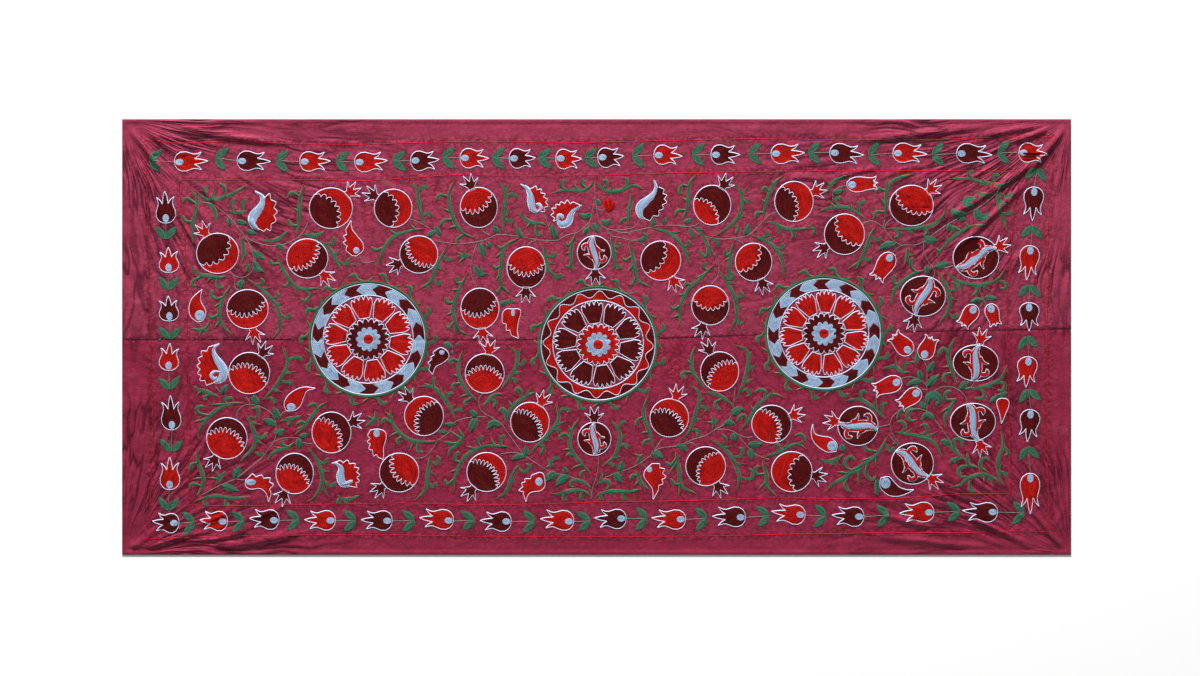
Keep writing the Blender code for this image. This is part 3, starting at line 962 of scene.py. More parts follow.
# %% Where the sprays run
SPRAY_COLUMNS = ("window", "body", "hooks")
SPRAYS = """
-1|196,191 204,198 213,200 230,195 248,185|c206,198 205,191 208,187/t212,200 216,188/c226,197 225,189
  220,185;
-1|190,189 197,199 196,212 193,225 193,243|c195,203 188,199 184,203/c193,222 186,221 184,216;
-1|205,203 211,206 215,212 217,223|;
-1|228,211 236,213 240,213 247,211|c233,212 232,204 236,200/c243,212 243,204 247,201;
-1|240,236 244,250 243,262|t243,256 248,254;
-1|262,241 272,241 280,238 288,231|;
-1|304,184 300,200 299,220 297,237|c300,197 293,193 289,198/t299,212 293,208/c299,226 292,225 289,220;
-1|303,235 315,236 320,234 325,231|;
-1|410,181 417,190 419,205 425,227|c418,194 423,187 427,190/t419,205 424,200/c422,217 428,213 430,218;
-1|455,180 449,195 452,215 462,232 477,239|c449,197 441,195 437,201/t451,212 443,209/c454,220 446,220
  441,226/t457,226 449,228/c464,234 458,239 459,243;
-1|425,229 410,231 395,236 385,247 379,262 377,268|t415,230 411,225/t397,235 389,230/c383,248 376,250
  372,247;
-1|320,240 330,250 337,262 341,270|c325,244 333,243 333,237/t334,256 340,250/c338,261 346,264 348,258;
-1|457,257 464,256 472,256|t464,256 466,249/t465,257 459,263/t462,256 457,252;
2|2,30 6,36 8,44 6,56 6,65 6,72|t7,40 11,32/c7,44 12,41 15,43 14,46/t7,58 12,52/c6,66 8,62 12,63 12,66;
2|78,30 76,34 70,38 62,38 53,38 46,40|c56,38 53,35 54,31 56,31/t65,38 62,32/c72,36 69,33 70,29;
2|80,30 87,38 99,38 110,34 118,37|c85,37 88,34 88,31 85,31/t92,39 94,34/c100,38 104,34 104,30 102,29;
2|18,54 21,59 25,62 30,64 35,64 40,66|t29,63 24,68/c33,64 32,69 34,73 36,71;
2|108,40 108,47 106,54 106,60 105,66|t107,54 104,53/c106,60 102,61 100,64;
2|19,76 7,83 4,98 4,113 12,121|c8,82 4,84 2,82/t5,88 0,91/c4,98 0,100 -2,98/t4,104 0,110/c5,113 2,119
  0,117;
2|124,68 140,73 150,84 155,98|t140,72 147,71/c150,83 154,81 153,78/t152,88 156,87;
6|103,6 96,19 90,33 81,39|c100,12 104,16 106,13/t96,21 100,24/c92,31 96,35 98,32/t88,36 89,41;
6|120,26 112,42 108,57 113,72 121,76|c116,34 111,34 113,29/t113,40 107,40/c110,50 104,50 103,46/t108,58
  103,60/c109,65 105,70 103,68/t110,69 110,75;
7|38,3 39,10 40,17 42,24 46,28 46,34|c39,11 42,13 46,12 46,9/t40,18 47,19/c43,25 48,29 51,29 50,26;
7|64,-5 61,2 60,9 60,15 61,21 62,25|c61,1 58,4 56,2/t60,10 56,11/c60,16 59,21 56,20;
7|92,-4 93,2 94,9 95,16 95,21 92,24|c94,6 98,5 98,2/t95,10 97,11/c95,18 98,22 100,20;
7|106,1 110,16 113,31 124,38|c109,13 104,16 102,14/t110,20 105,26/c112,28 110,34 107,35/t111,25 116,23;
7|4,51 8,50 13,49 16,50|t12,49 12,46;
3|18,25 12,34 11,51 6,62|c12,35 7,34 5,39 8,40/t12,47 6,44/c10,54 4,54 2,58;
3|48,31 54,42 52,58 40,70 31,75|t54,42 59,35/c54,49 57,46 60,49/t52,59 57,59/c48,66 51,68 49,72;
3|88,26 80,33 74,47 71,60|t80,34 78,30/c77,40 73,36 71,40/t74,49 70,45/c72,56 67,56 66,60;
3|72,64 79,64 85,67 92,69 100,69 108,68|t108,68 111,64/c108,68 112,69 111,73/t83,66 86,74/c91,69 95,72
  94,76;
3|115,56 124,52 139,52 154,61|t128,51 125,48/c132,51 129,46 134,44/t142,53 141,48/c148,56 148,50 153,47;
3|140,26 134,28 129,30 125,34 123,38 119,40|t125,34 123,31;
3|19,69 24,76 28,85 29,92|c27,83 26,90 22,88 21,85/t26,81 30,85;
3|62,74 76,80 86,92 88,109|c69,76 74,74 74,70/t74,78 81,75/c80,84 86,84 86,80/t84,89 90,89;
3|48,79 46,86 45,93 44,101 44,109|c46,87 42,90 42,85/t45,92 41,94;
-1|914,174 894,180 887,190 886,199 885,220|t888,190 887,178/c886,191 879,189 877,193/t885,205
  880,198/c884,212 877,212 875,218;
-1|948,179 969,179 983,183 1002,185 1012,181 1018,174|c973,180 969,174 974,172/t986,184 982,178/c994,185
  993,177 999,176;
-1|974,190 980,194 987,195 994,193|;
-1|1007,182 999,190 998,200 1000,212 1004,221 1007,231|c999,193 1006,197 1011,192/t1000,201
  1008,206/c1001,213 1008,214 1011,210;
-1|886,229 910,229 932,225 943,216 946,206|c893,229 899,234 894,237/t908,229 914,235/c922,228 927,232
  923,235;
-1|989,225 975,226 967,228 951,239 942,249 935,258|c962,232 954,228 953,234/t968,228 966,223/t948,242
  946,236/t940,252 935,248;
-1|876,226 870,236 865,250 860,261 848,269|c870,235 877,240 880,236/t867,243 872,249/c863,256 866,260
  871,257/t860,262 857,268;
9|44,6 44,13 42,20|t44,12 50,12/t43,15 46,16;
9|60,24 47,28 34,40 32,53|c38,35 34,35 34,30 36,30/t35,40 31,40/c52,26 48,22 48,17 50,16;
9|68,25 76,38 78,53 69,68|c76,40 82,40 82,36 79,34/t77,46 83,48/c77,59 82,62 83,58;
9|74,24 85,33 101,36 116,32 123,22|t86,34 88,43/c96,36 100,40 96,44/t103,36 110,40/c115,33 122,34 122,38
  118,38;
5|41,20 44,25 49,28 56,29 64,30 70,29|c50,29 44,32 43,35 46,36/t59,29 54,33/c62,30 62,36 67,37;
5|74,35 66,48 64,64 74,77|c68,45 62,47 58,44 60,40/t66,50 59,54/c64,59 58,62 56,59/t64,65 60,70;
5|86,31 98,40 110,54 112,70 106,79|c94,36 98,34 96,31/t97,39 104,38/c106,47 110,45 109,42/t109,52
  115,50/c112,60 118,62 119,58;
5|109,11 116,26 126,38 144,39|c111,19 106,19 105,16/t114,23 112,26/c120,32 118,36 115,36/t124,36
  126,43/c132,40 136,44 132,48 129,46;
5|83,21 86,20 86,24 84,26|;
5|56,65 53,70 49,72 41,71|t50,72 48,76/t52,70 55,76;
10|114,7 118,21 111,36 98,51|c118,22 120,18 127,17 128,20/t116,29 123,28/c112,35 116,36 120,36
  119,39/t107,42 113,44/c102,49 105,49 108,52 106,53;
10|42,39 47,42 53,44 59,46 63,48|t50,43 46,46/c56,46 52,48 54,50/t56,45 52,42;
10|85,53 70,54 56,63 47,76 47,82|t70,54 58,54/c69,54 68,50 74,49/c56,63 48,61 47,57 52,56/t52,66 43,68;
10|84,61 90,72 92,86 80,100|c88,64 93,64 94,58 89,58/t88,68 96,70/c90,74 96,80 101,76/t92,82 99,86/c92,92
  96,94 98,92;
10|150,52 145,55 140,60 135,67 130,73 124,78|c142,58 140,54 135,56/t138,64 134,62/c133,70 130,68
  126,70/t131,72 125,74;
10|112,68 117,66 123,65 129,63|c119,66 120,69 118,70;
10|124,84 119,88 112,90 106,93 102,99|c119,88 114,86 115,83/t115,90 108,88;
15|134,10 142,22 146,37 140,50 134,54|c141,20 146,23 150,19/t145,29 151,30/c146,36 152,41 156,38/t146,42
  151,50;
11|116,10 112,26 117,40 128,52|c113,20 109,18 106,20 109,21/t113,32 108,30/c115,37 109,38 110,42/t120,46
  114,48/c124,48 118,52 120,54;
11|148,46 142,46 137,50 132,56|c138,50 142,52 140,56;
12|10,7 17,14 15,26 7,38 4,42|t17,15 20,9/c16,22 20,22 23,18/t15,29 20,28/c11,34 15,34 16,38;
12|33,44 27,46 20,50 14,55 10,61 8,69|c20,49 20,44 17,42 16,46/t24,47 28,40/t13,56 10,51/c10,62 6,58 3,60;
12|48,52 50,65 42,78 32,88 27,94|c50,62 53,58 58,59 56,61/t48,70 55,68/c45,74 50,74 49,77/t39,82
  43,83/c34,86 38,88 35,94;
12|67,64 60,77 60,90 70,103 76,110|t60,76 58,71/c59,82 56,78 52,80 54,82/t60,90 54,90/c64,96 59,94
  57,96/t69,102 61,105/c72,107 69,108 68,112;
12|92,66 99,77 96,93 85,104|c98,74 100,69 104,69/t98,83 104,78/c98,88 103,86 105,90/t94,96 100,96/c89,101
  94,102 93,104;
12|122,46 118,61 123,77 126,90|c118,64 114,66 113,70 114,70/t122,76 116,77/c124,82 120,83 118,87;
16|108,48 110,33 118,18 133,10 150,10 154,12|c109,36 104,40 102,36/t112,29 106,30/c115,23 110,21 112,16
  114,16/t125,12 119,10/c130,10 128,6 132,2/t141,9 138,3/c147,10 146,4 150,2;
16|90,16 88,30 86,44 78,53|c90,22 94,24 96,20 94,18/t88,29 94,33/c88,38 92,42 94,38;
11|58,56 60,70 73,82 90,84 97,82|t59,65 54,60/c60,70 54,66 52,70/t65,76 58,79/c68,80 64,82 66,86/t77,84
  74,90/c80,84 80,90 84,91;
11|46,59 46,65 43,68 38,72|t45,66 50,65/t44,66 39,63;
11|80,40 92,40 103,52 110,66|t90,40 85,37/c93,40 92,35 94,33/t98,47 98,40/c103,52 104,46 108,46/t106,57
  110,54/c108,60 113,58 115,60;
11|146,62 147,58 150,61 150,69|;
11|116,76 115,82 110,87 106,90 104,95|c112,85 106,85 102,84/t114,81 105,75/t116,80 112,73;
13|18,7 15,13 14,20 15,28 20,35 25,42|t14,22 10,18/c15,29 10,28 7,30 10,33;
13|24,45 31,45 38,48 44,52 47,56|c40,49 34,52 35,56 38,57;
13|47,6 58,11 59,24 55,38 50,50|t59,16 62,12/c59,28 62,24 64,26/t58,36 63,34/c54,44 58,42 60,46 58,47;
13|12,38 20,45 18,60 12,76 6,82|t20,51 24,49/c19,58 22,56 26,57 24,60/t17,66 22,66/c14,74 19,75 18,80;
13|89,49 78,46 67,55 59,68 52,76|t77,47 80,42/c72,49 73,44 68,43 66,45/t64,60 61,55/c58,70 57,64 54,64
  51,68;
13|30,62 32,68 31,74|t32,69 26,68/t32,69 36,65;
18|29,4 38,10 47,20 52,34 50,46|c38,9 41,5 38,1/t40,11 45,10/c46,18 52,18 54,13 51,12/t49,24 56,24/c52,34
  60,36 62,31 59,28;
18|1,13 4,27 6,41 18,48|t5,38 4,49/c6,40 1,40 -2,36/t2,23 -4,32/c2,19 -2,24 -6,22;
18|71,20 72,26 74,33 74,40 77,45 82,50|c73,32 67,32 66,28 69,26/t74,38 68,44;
18|72,19 79,16 85,14 92,10 99,8 106,12|c82,15 84,11 81,8/t88,12 92,6/c100,8 104,5 101,1 97,2;
18|116,20 123,22 130,20 136,16|c129,20 126,22 129,24/t131,19 131,24;
18|122,46 127,40 135,36 140,32 146,30 152,26|t140,32 130,30/c145,30 138,27 138,22 142,19 145,23/c140,33
  137,40 141,45/t148,30 148,40;
14|34,76 51,79 65,84 72,96|c38,78 42,73 40,69 36,69/t43,78 48,73/c52,79 59,76 58,71 54,72/t59,80 68,76;
14|-5,51 6,50 16,56 27,66|c11,52 7,48 9,44 12,46/t19,58 19,48/c24,62 24,55 28,54;
14|24,26 30,24 35,24 40,28 46,28|t35,24 35,18/c41,28 42,22 46,22;
14|44,58 39,59 36,66|;
14|53,58 46,59 44,64 48,67 52,66|;
14|52,9 52,15 51,20 46,20|t52,18 55,16;
14|90,42 104,40 118,34 124,23|c100,40 105,44 104,48 98,48/t106,39 113,41/c114,37 121,37 120,42 116,42;
14|84,39 80,27 77,13 83,0|c78,17 74,10 70,14 70,16/t80,24 72,24/c80,29 75,30 74,34 76,35;
14|84,48 80,54 77,60 74,64 74,72|c83,50 76,50 76,45 80,44/t79,56 71,60;
-1|888,436 882,447 874,457 860,466 845,474|c884,443 890,450 893,446/c878,452 868,450 866,446/c868,461
  866,472 872,478 875,474/t872,458 861,461/t876,454 876,465/t860,468 858,482;
-1|950,487.5 960,485 967,479 982,474 994,478 1000,484|c970,478 970,488 975,490/t985,475 984,482/t990,477
  993,486;
-1|1001,431 1003,444 998,461 999,476 1004,487|c1003,446 1008,452 1004,455/t998,468 1002,463/c999,472
  1004,473 1007,477;
19|70,6 76,8 82,13 87,19|c85,16 82,11 82,6 87,6 88,12;
19|78,24 83,20 89,20|;
19|99,27 93,24 92,15|;
19|96,26 89,26 85,29 87,34 93,34|;
19|108,30 103,27 103,22 107,19 110,22|;
-1|197,448 198,462 203,475 203,485 197,496|c200,463 193,464 191,471/t203,478 194,479/c203,487 194,484
  191,489;
15|61,41 64,35 69,30|t64,36 55,35/t63,35 61,30;
-1|195,501 214,496 230,498 251,497|c203,498 205,504 208,503/t213,496 216,501/c226,498 226,504
  229,503/t233,498 236,502;
16|15,49 20,52 26,52 33,49|c18,50 16,54 18,54/c23,52 22,54 24,54;
17|44,48 50,48 57,46 64,45 71,46 76,50|c55,46 54,51 57,52/t64,45 64,49/c69,46 68,50 70,52;
17|79,52 83,48 90,46 99,46 108,46 116,44|c83,48 84,51 86,52/t90,46 94,50/c102,46 102,50 105,52;
17|118,16 115,19 113,24|t115,18 110,16;
17|112,28 114,34 116,39 122,44|c114,34 110,33 108,37/t115,37 111,41;
17|0,52 6,48 10,43 12,36 15,29 20,24|t12,34 16,40/c17,26 22,30 26,26 23,24/t10,41 11,46;
17|41,20 44,24 44,28|t44,25 40,27/c44,24 46,20 51,20;
17|76,44 71,39 65,37 60,38 60,42 63,42|;
17|80,42 84,38 90,38 90,43 88,44|t84,38 85,30;
8|33,19 24,28 12,39 5,53 5,65 6,70|c27,24 24,22 26,18/t24,28 18,30/c14,36 10,35 10,38/t8,44 3,44/c6,52
  0,55 -2,52/t5,60 -1,62;
8|36,24 43,35 49,48 50,62 44,74|c38,27 43,31 46,28 44,25/t42,34 49,35/c48,44 51,46 54,44 52,41/t50,51
  54,55/c50,60 52,66 55,65
"""
sprays = rows_of(SPRAY_COLUMNS, SPRAYS)
for window, body, hooks in sprays:
    spray(window, body, hooks)
print(len(sprays), "sprays")

# %% [markdown]
# Stems and their leaves. A thin grey green line joins the fruits and flowers, and leaves sit along it. They
# have no border. A leaf is a ribbon whose width follows the leaf profile, from the stem to its tip.

# %% Where the stems run
STEM_COLUMNS = ("window", "places")
STEMS = """
-1|200,202 212,204 222,211 232,220 245,237 250,246 255,262;
-1|245,237 255,242 270,246 285,244 300,236 307,225 309,218; -1|360,256 362,261 367,263 375,261;
-1|410,219 420,223 430,229 440,238; -1|436,241 455,244 470,243 485,240 497,235 508,235;
-1|481,229 485,233 490,235; -1|478,241 473,255 471,268 473,280 476.8,286;
2|79,30 79,42 78,50 76,60 74,64 69,69 64,72 56,74 49,78 38,78 30,77 20,75 10,74;
2|80,47 81,56 83,64 88,68 94,70 103,72 112,70 122,68 130,66 140,66 152,66;
2|94,70 105,69 111,67 115,62 116,59; 2|88,68 92,74 100,76 108,78 113,78 119,82;
2|38,57 40,61 42,67 45,73 48,78; 2|42,67 44,63; 2|32,78 27,80 24,84; 2|75,62 74,70 77,76;
2|80,52 85,54 87,52; 3|0,66 10,67 17,66 20,64;
3|12,67 20,73 30,76 40,77 50,76 56,75 62,72 70,64 76,58 82,55; 3|48,77 53,79 56,81;
3|138,34 131,36 127,40 127,46; 3|24,78 30,86 35,94 36,102 35,106 34,108 30,113;
-1|997,193 981.5,206 965.5,214 942,228 919,244 902,245.5 891,253.5; -1|885,220 884,228 894,241 902,245.5;
-1|891,219 886,224 885,229; -1|863.5,223 872,221 880,225 884,228;
9|58,0 57,6 58,11 60,16 64,21 70,22 76,22 82,20; 9|64,21 66,26 65,31; 9|102,40 104,46 104,51 102,54;
9|104,46 107,51 110,54; 5|72,25 76,29 82,30 87,28 90,24 92,19 92,13 88,3; 5|76,32 76,38 79,40;
5|47,66 50,70; -1|202,495 221,485 235,479 250,468 264,455.5 273,443 285,438 299,438; -1|235,479 245,480;
-1|299,441.5 305,443 312,444; 10|78,66 78,60 83,55 90,54 97,56 104,60 108,66 109,73 108,82 105,88;
10|84,47 87,51 88,54; 10|111,66 115,60 120,60; 10|60,39 64,44; -1|888,434 893,440 899,447;
-1|944,433 955,448 968,462 988,472; 11|132,45 129,49 129,56 133,61 140,65 147,70 152,77 160,88 166,96;
11|78,97 85,96 92,89 96,83 105,76 110,68 118,65 127,64 134,64; 11|48,72 49,68 45,65;
17|24,18 33,24 43,30 50,32 59,34 68,38 74,43 77,49; 17|82,17 82,25 80,35 77,45 76,52;
17|87,35 97,31 106,28 114,24 120,20 125,16 130,8 133,4; 17|125,14 133,11 144,10 150,9;
17|39,37 39,34 44,30; 17|4,16 10,15 17,15 24,18; 17|116,24 120,27;
13|49,40 48,50 47,59 45,64 40,70 33,74 25,79 15,82 6,86 0,87;
13|33,74 42,74 48,76 52,80 60,89 64,93 70,96 76,98; 13|48,76 56,80 63,80; 18|10,8 15,7 18,10;
14|30,70 33,63 40,58 48,57 56,58 62,61 66,66 72,74 77,81 83,88 87,96; 14|30,70 32,77 38,86;
14|21,72 26,71 30,70; 14|60,60 60,50 60,40 60,30 60,25 57,18; 14|38,34 44,32 52,33 59,38 60,42;
14|56,42 60,42; 14|48,15 51,19 53,20; 14|60,50 65,44 72,40 80,40 86,43 90,47 92,52; 14|86,42 95,40 98,35;
14|118,48 114,45
"""
stems = rows_of(STEM_COLUMNS, STEMS)
for window, places in stems:
    cord(GREY_GREEN, reading(window, places), width=2.5, height=0.65, loop=3.8, smooth_line=True)
print(len(stems), "stems")

# %% Where the leaves sit
LEAF_COLUMNS = ("window", "wide", "places")
LEAVES = """
-1|5|229,217 230,227; -1|5|236,221 248,224; -1|5|246,231 257,234; -1|7|253,251 258,255 265,259;
-1|7|254,261 257,268 264,272; -1|5|276,245 281,247 285,251; -1|5|427,237 432,233 438,231;
-1|5|435,226 441,236; -1|5|492,226 500,233; -1|6|479,243 482,250 484,259; -1|6|488,242 490,249;
-1|7|896,244 887,245 878,250; -1|8|924,236 929,240 938,240; -1|8|974,206 966,204 969,199 976,199;
-1|8|966,213 958,215 953,211 955,208; -1|8|976,208 978,216 985,217 988,211; -1|6|950,224 948,232;
-1|6|963,216 961,223; -1|5|832,193 838,192 844,190; -1|7|234,479 240,465; -1|7|221,485 230,488 239,491;
-1|5|299,437 309,434; -1|7|299,438 299,449; -1|5|877,479 877,496; -1|6|940,441 951,444;
-1|6|950,462 958,458; 2|6|76,56 72,59 66,57; 2|6|84,62 88,64 92,61; 2|5|80,45 82,48 84,50;
2|7|77,64 80,68 82,72; 2|5|75,68 72,70 70,74; 2|7|48,77 46,71 45,65; 2|5|21,76 18,71 17,66;
2|5|113,78 118,77 120,74 117,72; 2|4|134,66 136,59; 2|4|124,67 126,64 128,60; 3|6|56,74 59,69 60,64;
3|5|8,64 12,62 15,60; 3|4|12,69 15,74 16,77; 3|4|17,68 23,70; 3|4|31,76 34,79 36,84;
9|7|66,22 72,20 78,18; 9|6|60,20 60,28; 9|5|105,48 100,48 94,50; 9|6|106,46 116,47; 5|7|83,32 81,35 80,40;
6|6|146,52 152,49; 6|6|100,83 104,84 108,87; 6|4|110,83 112,84; 6|4|106,90 109,90; 6|4|28,19 31,20;
6|5|125,20 128,26 130,31; 6|4|129,28 131,22; 6|4|129,28 135,27; 10|6|65,46 68,41 71,38;
10|7|95,54 92,50 91,46; 10|7|111,66 109,61 107,56; 10|7|109,71 104,68 98,66; 10|7|108,78 112,76 116,74;
10|5|128,80 135,78; 10|7|128,82 127,90; 11|7|127,64 124,61 121,59; 11|8|127,65 124,70 122,76;
11|5|110,70 106,70 101,70; 11|7|146,71 140,69 135,74; 11|4|96,76 104,76; 17|8|49,31 45,33 40,38;
17|8|59,34 53,36 48,42; 17|5|57,32 54,26; 17|7|98,30 100,26 101,21; 17|8|93,32 97,34 101,39;
17|6|24,18 24,14 24,9; 17|6|24,18 18,18 12,21; 17|8|124,16 128,16 134,19; 13|8|46,63 50,59 56,57;
13|6|40,70 44,68 49,70; 13|7|46,77 48,80 49,84; 13|7|59,86 65,86 71,85; 13|7|60,89 62,94 62,99;
13|7|2,87 7,88 10,92; 14|6|60,29 63,24 66,19; 14|6|56,34 54,30 54,26; 14|7|60,40 65,34 70,30;
14|6|56,36 50,36 43,39; 14|7|59,57 56,54 56,51; 14|9|60,54 62,48 67,47 70,51 66,55;
14|7|86,42 90,38 94,36; 14|5|116,47 113,50 110,53; 14|5|116,47 121,46 125,44; 14|6|66,66 60,62 55,67;
14|6|71,83 76,84 79,86; 14|5|34,84 34,87; 18|6|134,8 136,15; 14|6|50,39 52,41; 10|5|15,2 16,3
"""
leaves = rows_of(LEAF_COLUMNS, LEAVES)
for window, wide, places in leaves:
    ribbon(GREEN, reading(window, places), "leaf", int(wide) * PIXEL / MM * 1.08, 0.8)
print(len(leaves), "leaves")

# %% [markdown]
# The three rosettes. Each has, from the outside in, a green ring with hooks, a ring of two colours, a
# wheel of petals with scalloped ends, and a flower with a ball at its heart. The two outer rosettes have
# arrow heads of blue and maroon that follow one another round the ring. The middle one has a waving pale
# line between maroon and red instead. All of it is drawn by angle and by share of the radius, so one
# function makes all three.

# %% Parts of a rosette
RING_WIDTH = 6.2
RING_INNER = 0.795
RING_FLOOR, RING_CEILING = RING_INNER + 0.012, 0.985
PETAL_INNER, PETAL_OUTER = 0.395, 0.785
PETAL_LOBES, PETAL_GAP, PETAL_ROOT = 5, 1.3, 0.80
BAND_PIECES = 4
EYE_PARTS = {"flower": 0.375, "blossom": 0.225, "dot": 0.085}


def polar(centre, radii, turns, shares):
    """Places at angles in degrees and shares of the radii, in pixels of the photograph."""
    turns = np.radians(np.asarray(turns, dtype=float))
    out = np.stack([np.cos(turns) * radii[0], np.sin(turns) * radii[1]], -1) * np.asarray(shares)[..., None]
    return np.asarray(centre) + out * PIXEL


def scalloped_disc(centre, radii, share, lobes, depth):
    """A round shape whose edge is a row of lobes."""
    turns = np.linspace(0, 360, lobes * 8, endpoint=False)
    wave = np.abs(np.sin(np.radians(turns) * lobes / 2)) ** 0.7
    return polar(centre, radii, turns, share * (1 - depth + depth * wave))


def petal(centre, radii, first, last):
    """One petal of the wheel, between two angles, with a scalloped outer end."""
    t = np.linspace(0, 1, PETAL_LOBES * 7 + 1)
    wave = np.abs(np.sin(np.pi * PETAL_LOBES * t)) ** 0.8
    bulge = 1.0 - 0.10 * np.abs(2 * t - 1) ** 3
    outer = PETAL_OUTER * bulge * (0.90 + 0.105 * wave)
    turns = first + (last - first) * t
    middle, half = (first + last) / 2, (last - first) / 2 * PETAL_ROOT
    roots = polar(centre, radii, [middle - half, middle + half], [PETAL_INNER, PETAL_INNER])
    return np.vstack([roots[:1], polar(centre, radii, turns, outer), roots[1:]])


def arrow_ring(centre, radii, count, start):
    """The ring of arrow heads, blue with maroon ones on it, that point anticlockwise."""
    step = 360 / count
    for i in range(count):
        for part, colour, wide in ((0.0, MAROON, 0.44), (0.44, BLUE, 0.56)):
            low = start + step * (i + part)
            high = low + step * wide
            head = step * 0.21
            radial = np.linspace(RING_FLOOR, RING_CEILING, 9)
            point = head * (1 - np.abs(np.linspace(-1, 1, 9)))
            outer = np.linspace(high, low, 6)
            front = polar(centre, radii, high + point, radial)
            back = polar(centre, radii, low + point, radial)[::-1]
            over = polar(centre, radii, outer[1:-1], np.full(4, RING_CEILING))
            under = polar(centre, radii, outer[-2:0:-1], np.full(4, RING_FLOOR))
            pad(colour, np.vstack([front, over, back, under]))


def wave_ring(centre, radii, count, start):
    """The ring that a waving line parts into red inside and maroon outside."""
    turns = np.linspace(0, 360, count * 14, endpoint=False)
    wave = 0.5 + 0.5 * np.cos(np.radians(turns - start) * count)
    line = 0.853 + 0.115 * wave**1.2
    pad_band(MAROON, centre, radii, turns, line, np.full(len(turns), RING_CEILING))
    pad_band(RED, centre, radii, turns, np.full(len(turns), RING_INNER + 0.01), line)
    cord(OUTLINE, polar(centre, radii, turns, line), closed=True, height=1.15, width=3.0)


def pad_band(colour, centre, radii, turns, inner, outer):
    """A filled band between two closed lines, in a few pieces."""
    each = len(turns) // BAND_PIECES
    for i in range(BAND_PIECES):
        last = len(turns) if i == BAND_PIECES - 1 else (i + 1) * each
        chosen = np.arange(i * each, last + 1) % len(turns)
        out = polar(centre, radii, turns[chosen], outer[chosen])
        back = polar(centre, radii, turns[chosen], inner[chosen])[::-1]
        pad(colour, np.vstack([out, back]))


def ring_hooks(centre, radii, count, start):
    """Curls and thorns in turn on the green ring; the curls bend anticlockwise."""
    step = 360 / count
    for i in range(count):
        turn = start + step * i
        curl = polar(centre, radii, [turn - 7, turn - 2, turn, turn + 5.5], [1.045, 1.10, 1.19, 1.18])
        stroke(curl, "curl", SPRAY_CURL * 1.05)
        turn += step / 2
        stroke(polar(centre, radii, [turn + 2.5, turn - 0.5, turn - 4.5], [1.04, 1.08, 1.15]), "thorn", 7.5)


print("ring of", RING_WIDTH, "mm")

# %% Where the rosettes lie
ROSETTE_COLUMNS = ("x", "y", "wide", "tall", "ring", "segments", "first_segment", "hooks", "first_hook",
                   "petals", "first_petal", "colours")  # fmt: skip
ROSETTES = [
    (368.4, 339.3, 56.6, 55.4, "arrows", 11, 97, 14, -1, 10, 10, "RDR"),
    (598.2, 344.6, 57.0, 55.4, "waves", 16, 88, 12, 14, 10, 9, "DRR"),
    (824.0, 333.6, 56.4, 54.8, "arrows", 12, 83, 14, 4, 11, 5, "RDR"),
]


def rosette(row):
    """One rosette from its row; its colours are those of the petals, the flower and the dot."""
    named = dict(zip(ROSETTE_COLUMNS, row))
    centre = on_cloth(named["x"], named["y"])
    radii = (named["wide"], named["tall"])
    around = np.linspace(0, 360, 180, endpoint=False)
    ribbon(GREEN, polar(centre, radii, around, np.full(180, 1.032)), "even", RING_WIDTH, 0.85, closed=True)
    ribbon(FINE_RED, polar(centre, radii, around, np.full(180, 1.066)), "even", 2.0, 0.4, closed=True)
    ring_hooks(centre, radii, named["hooks"], named["first_hook"])
    ring = arrow_ring if named["ring"] == "arrows" else wave_ring
    ring(centre, radii, named["segments"], named["first_segment"])
    for share in (1.0, RING_INNER):
        cord(OUTLINE, polar(centre, radii, around, np.full(180, share)), closed=True, height=1.15)
    colours = [LETTERS[letter] for letter in named["colours"]]
    step = 360 / named["petals"]
    for i in range(named["petals"]):
        first = named["first_petal"] + step * i
        outlined(colours[0], petal(centre, radii, first + PETAL_GAP, first + step - PETAL_GAP), 3.0)
    flower = scalloped_disc(centre, radii, EYE_PARTS["flower"], 20, 0.19)
    pad(colours[1], flower, height=0.75)
    cord(OUTLINE, flower, closed=True, height=1.15, width=2.8)
    blossom = scalloped_disc(centre, radii, EYE_PARTS["blossom"], 11, 0.25)
    pad(BLUE, blossom, height=BALL_HEIGHT, on=BALL_ON)
    pad(colours[2], polar(centre, radii, around[::6], np.full(30, EYE_PARTS["dot"])), height=0.3, on=0.85)


for row in ROSETTES:
    rosette(row)
print(len(ROSETTES), "rosettes")

# %% [markdown]
# Cut pomegranates. Eight fruits are shown cut open: a dark maroon disc, a pale blue band from its foot to
# its crown in a soft S, and red shapes with a thorn and a curl on each side of the band. They are strokes
# laid in layers over the disc, each with a pale border, and the lower layers are stitched lower.

# %% A cut pomegranate
CUT_COLUMNS = ("x", "y", "wide", "tall", "crown", "crown_colour", "side")
CUT_FRUITS = [
    (594.2, 252.9, 16.8, 16.8, 273, "D", 1),
    (594.4, 438.9, 16.5, 16.5, 90, "D", 1),
    (975.8, 257.8, 22.8, 21.0, 26, "R", 1),
    (922.9, 296.3, 22.5, 20.0, 250, "D", -1),
    (858.0, 426.0, 20.0, 19.5, 169, "R", 1),
    (975.8, 363.1, 22.5, 18.0, 78, "R", 1),
    (972.9, 422.0, 22.5, 18.5, 288, "R", -1),
    (912.3, 463.7, 21.0, 20.5, 322, "R", -1),
]
THORN_SHAPE = [(-0.30, 0.12), (-0.12, 0.34), (-0.10, 0.60)]
CURL_SHAPE = [(0.22, 0.20), (0.52, 0.38), (0.42, 0.64), (0.20, 0.58)]
CUT_RADIUS = 44
BAND_SHAPE = [(-0.96, 0.0), (-0.6, -0.13), (-0.2, -0.06), (0.2, 0.06), (0.6, 0.13), (0.98, 0.0)]


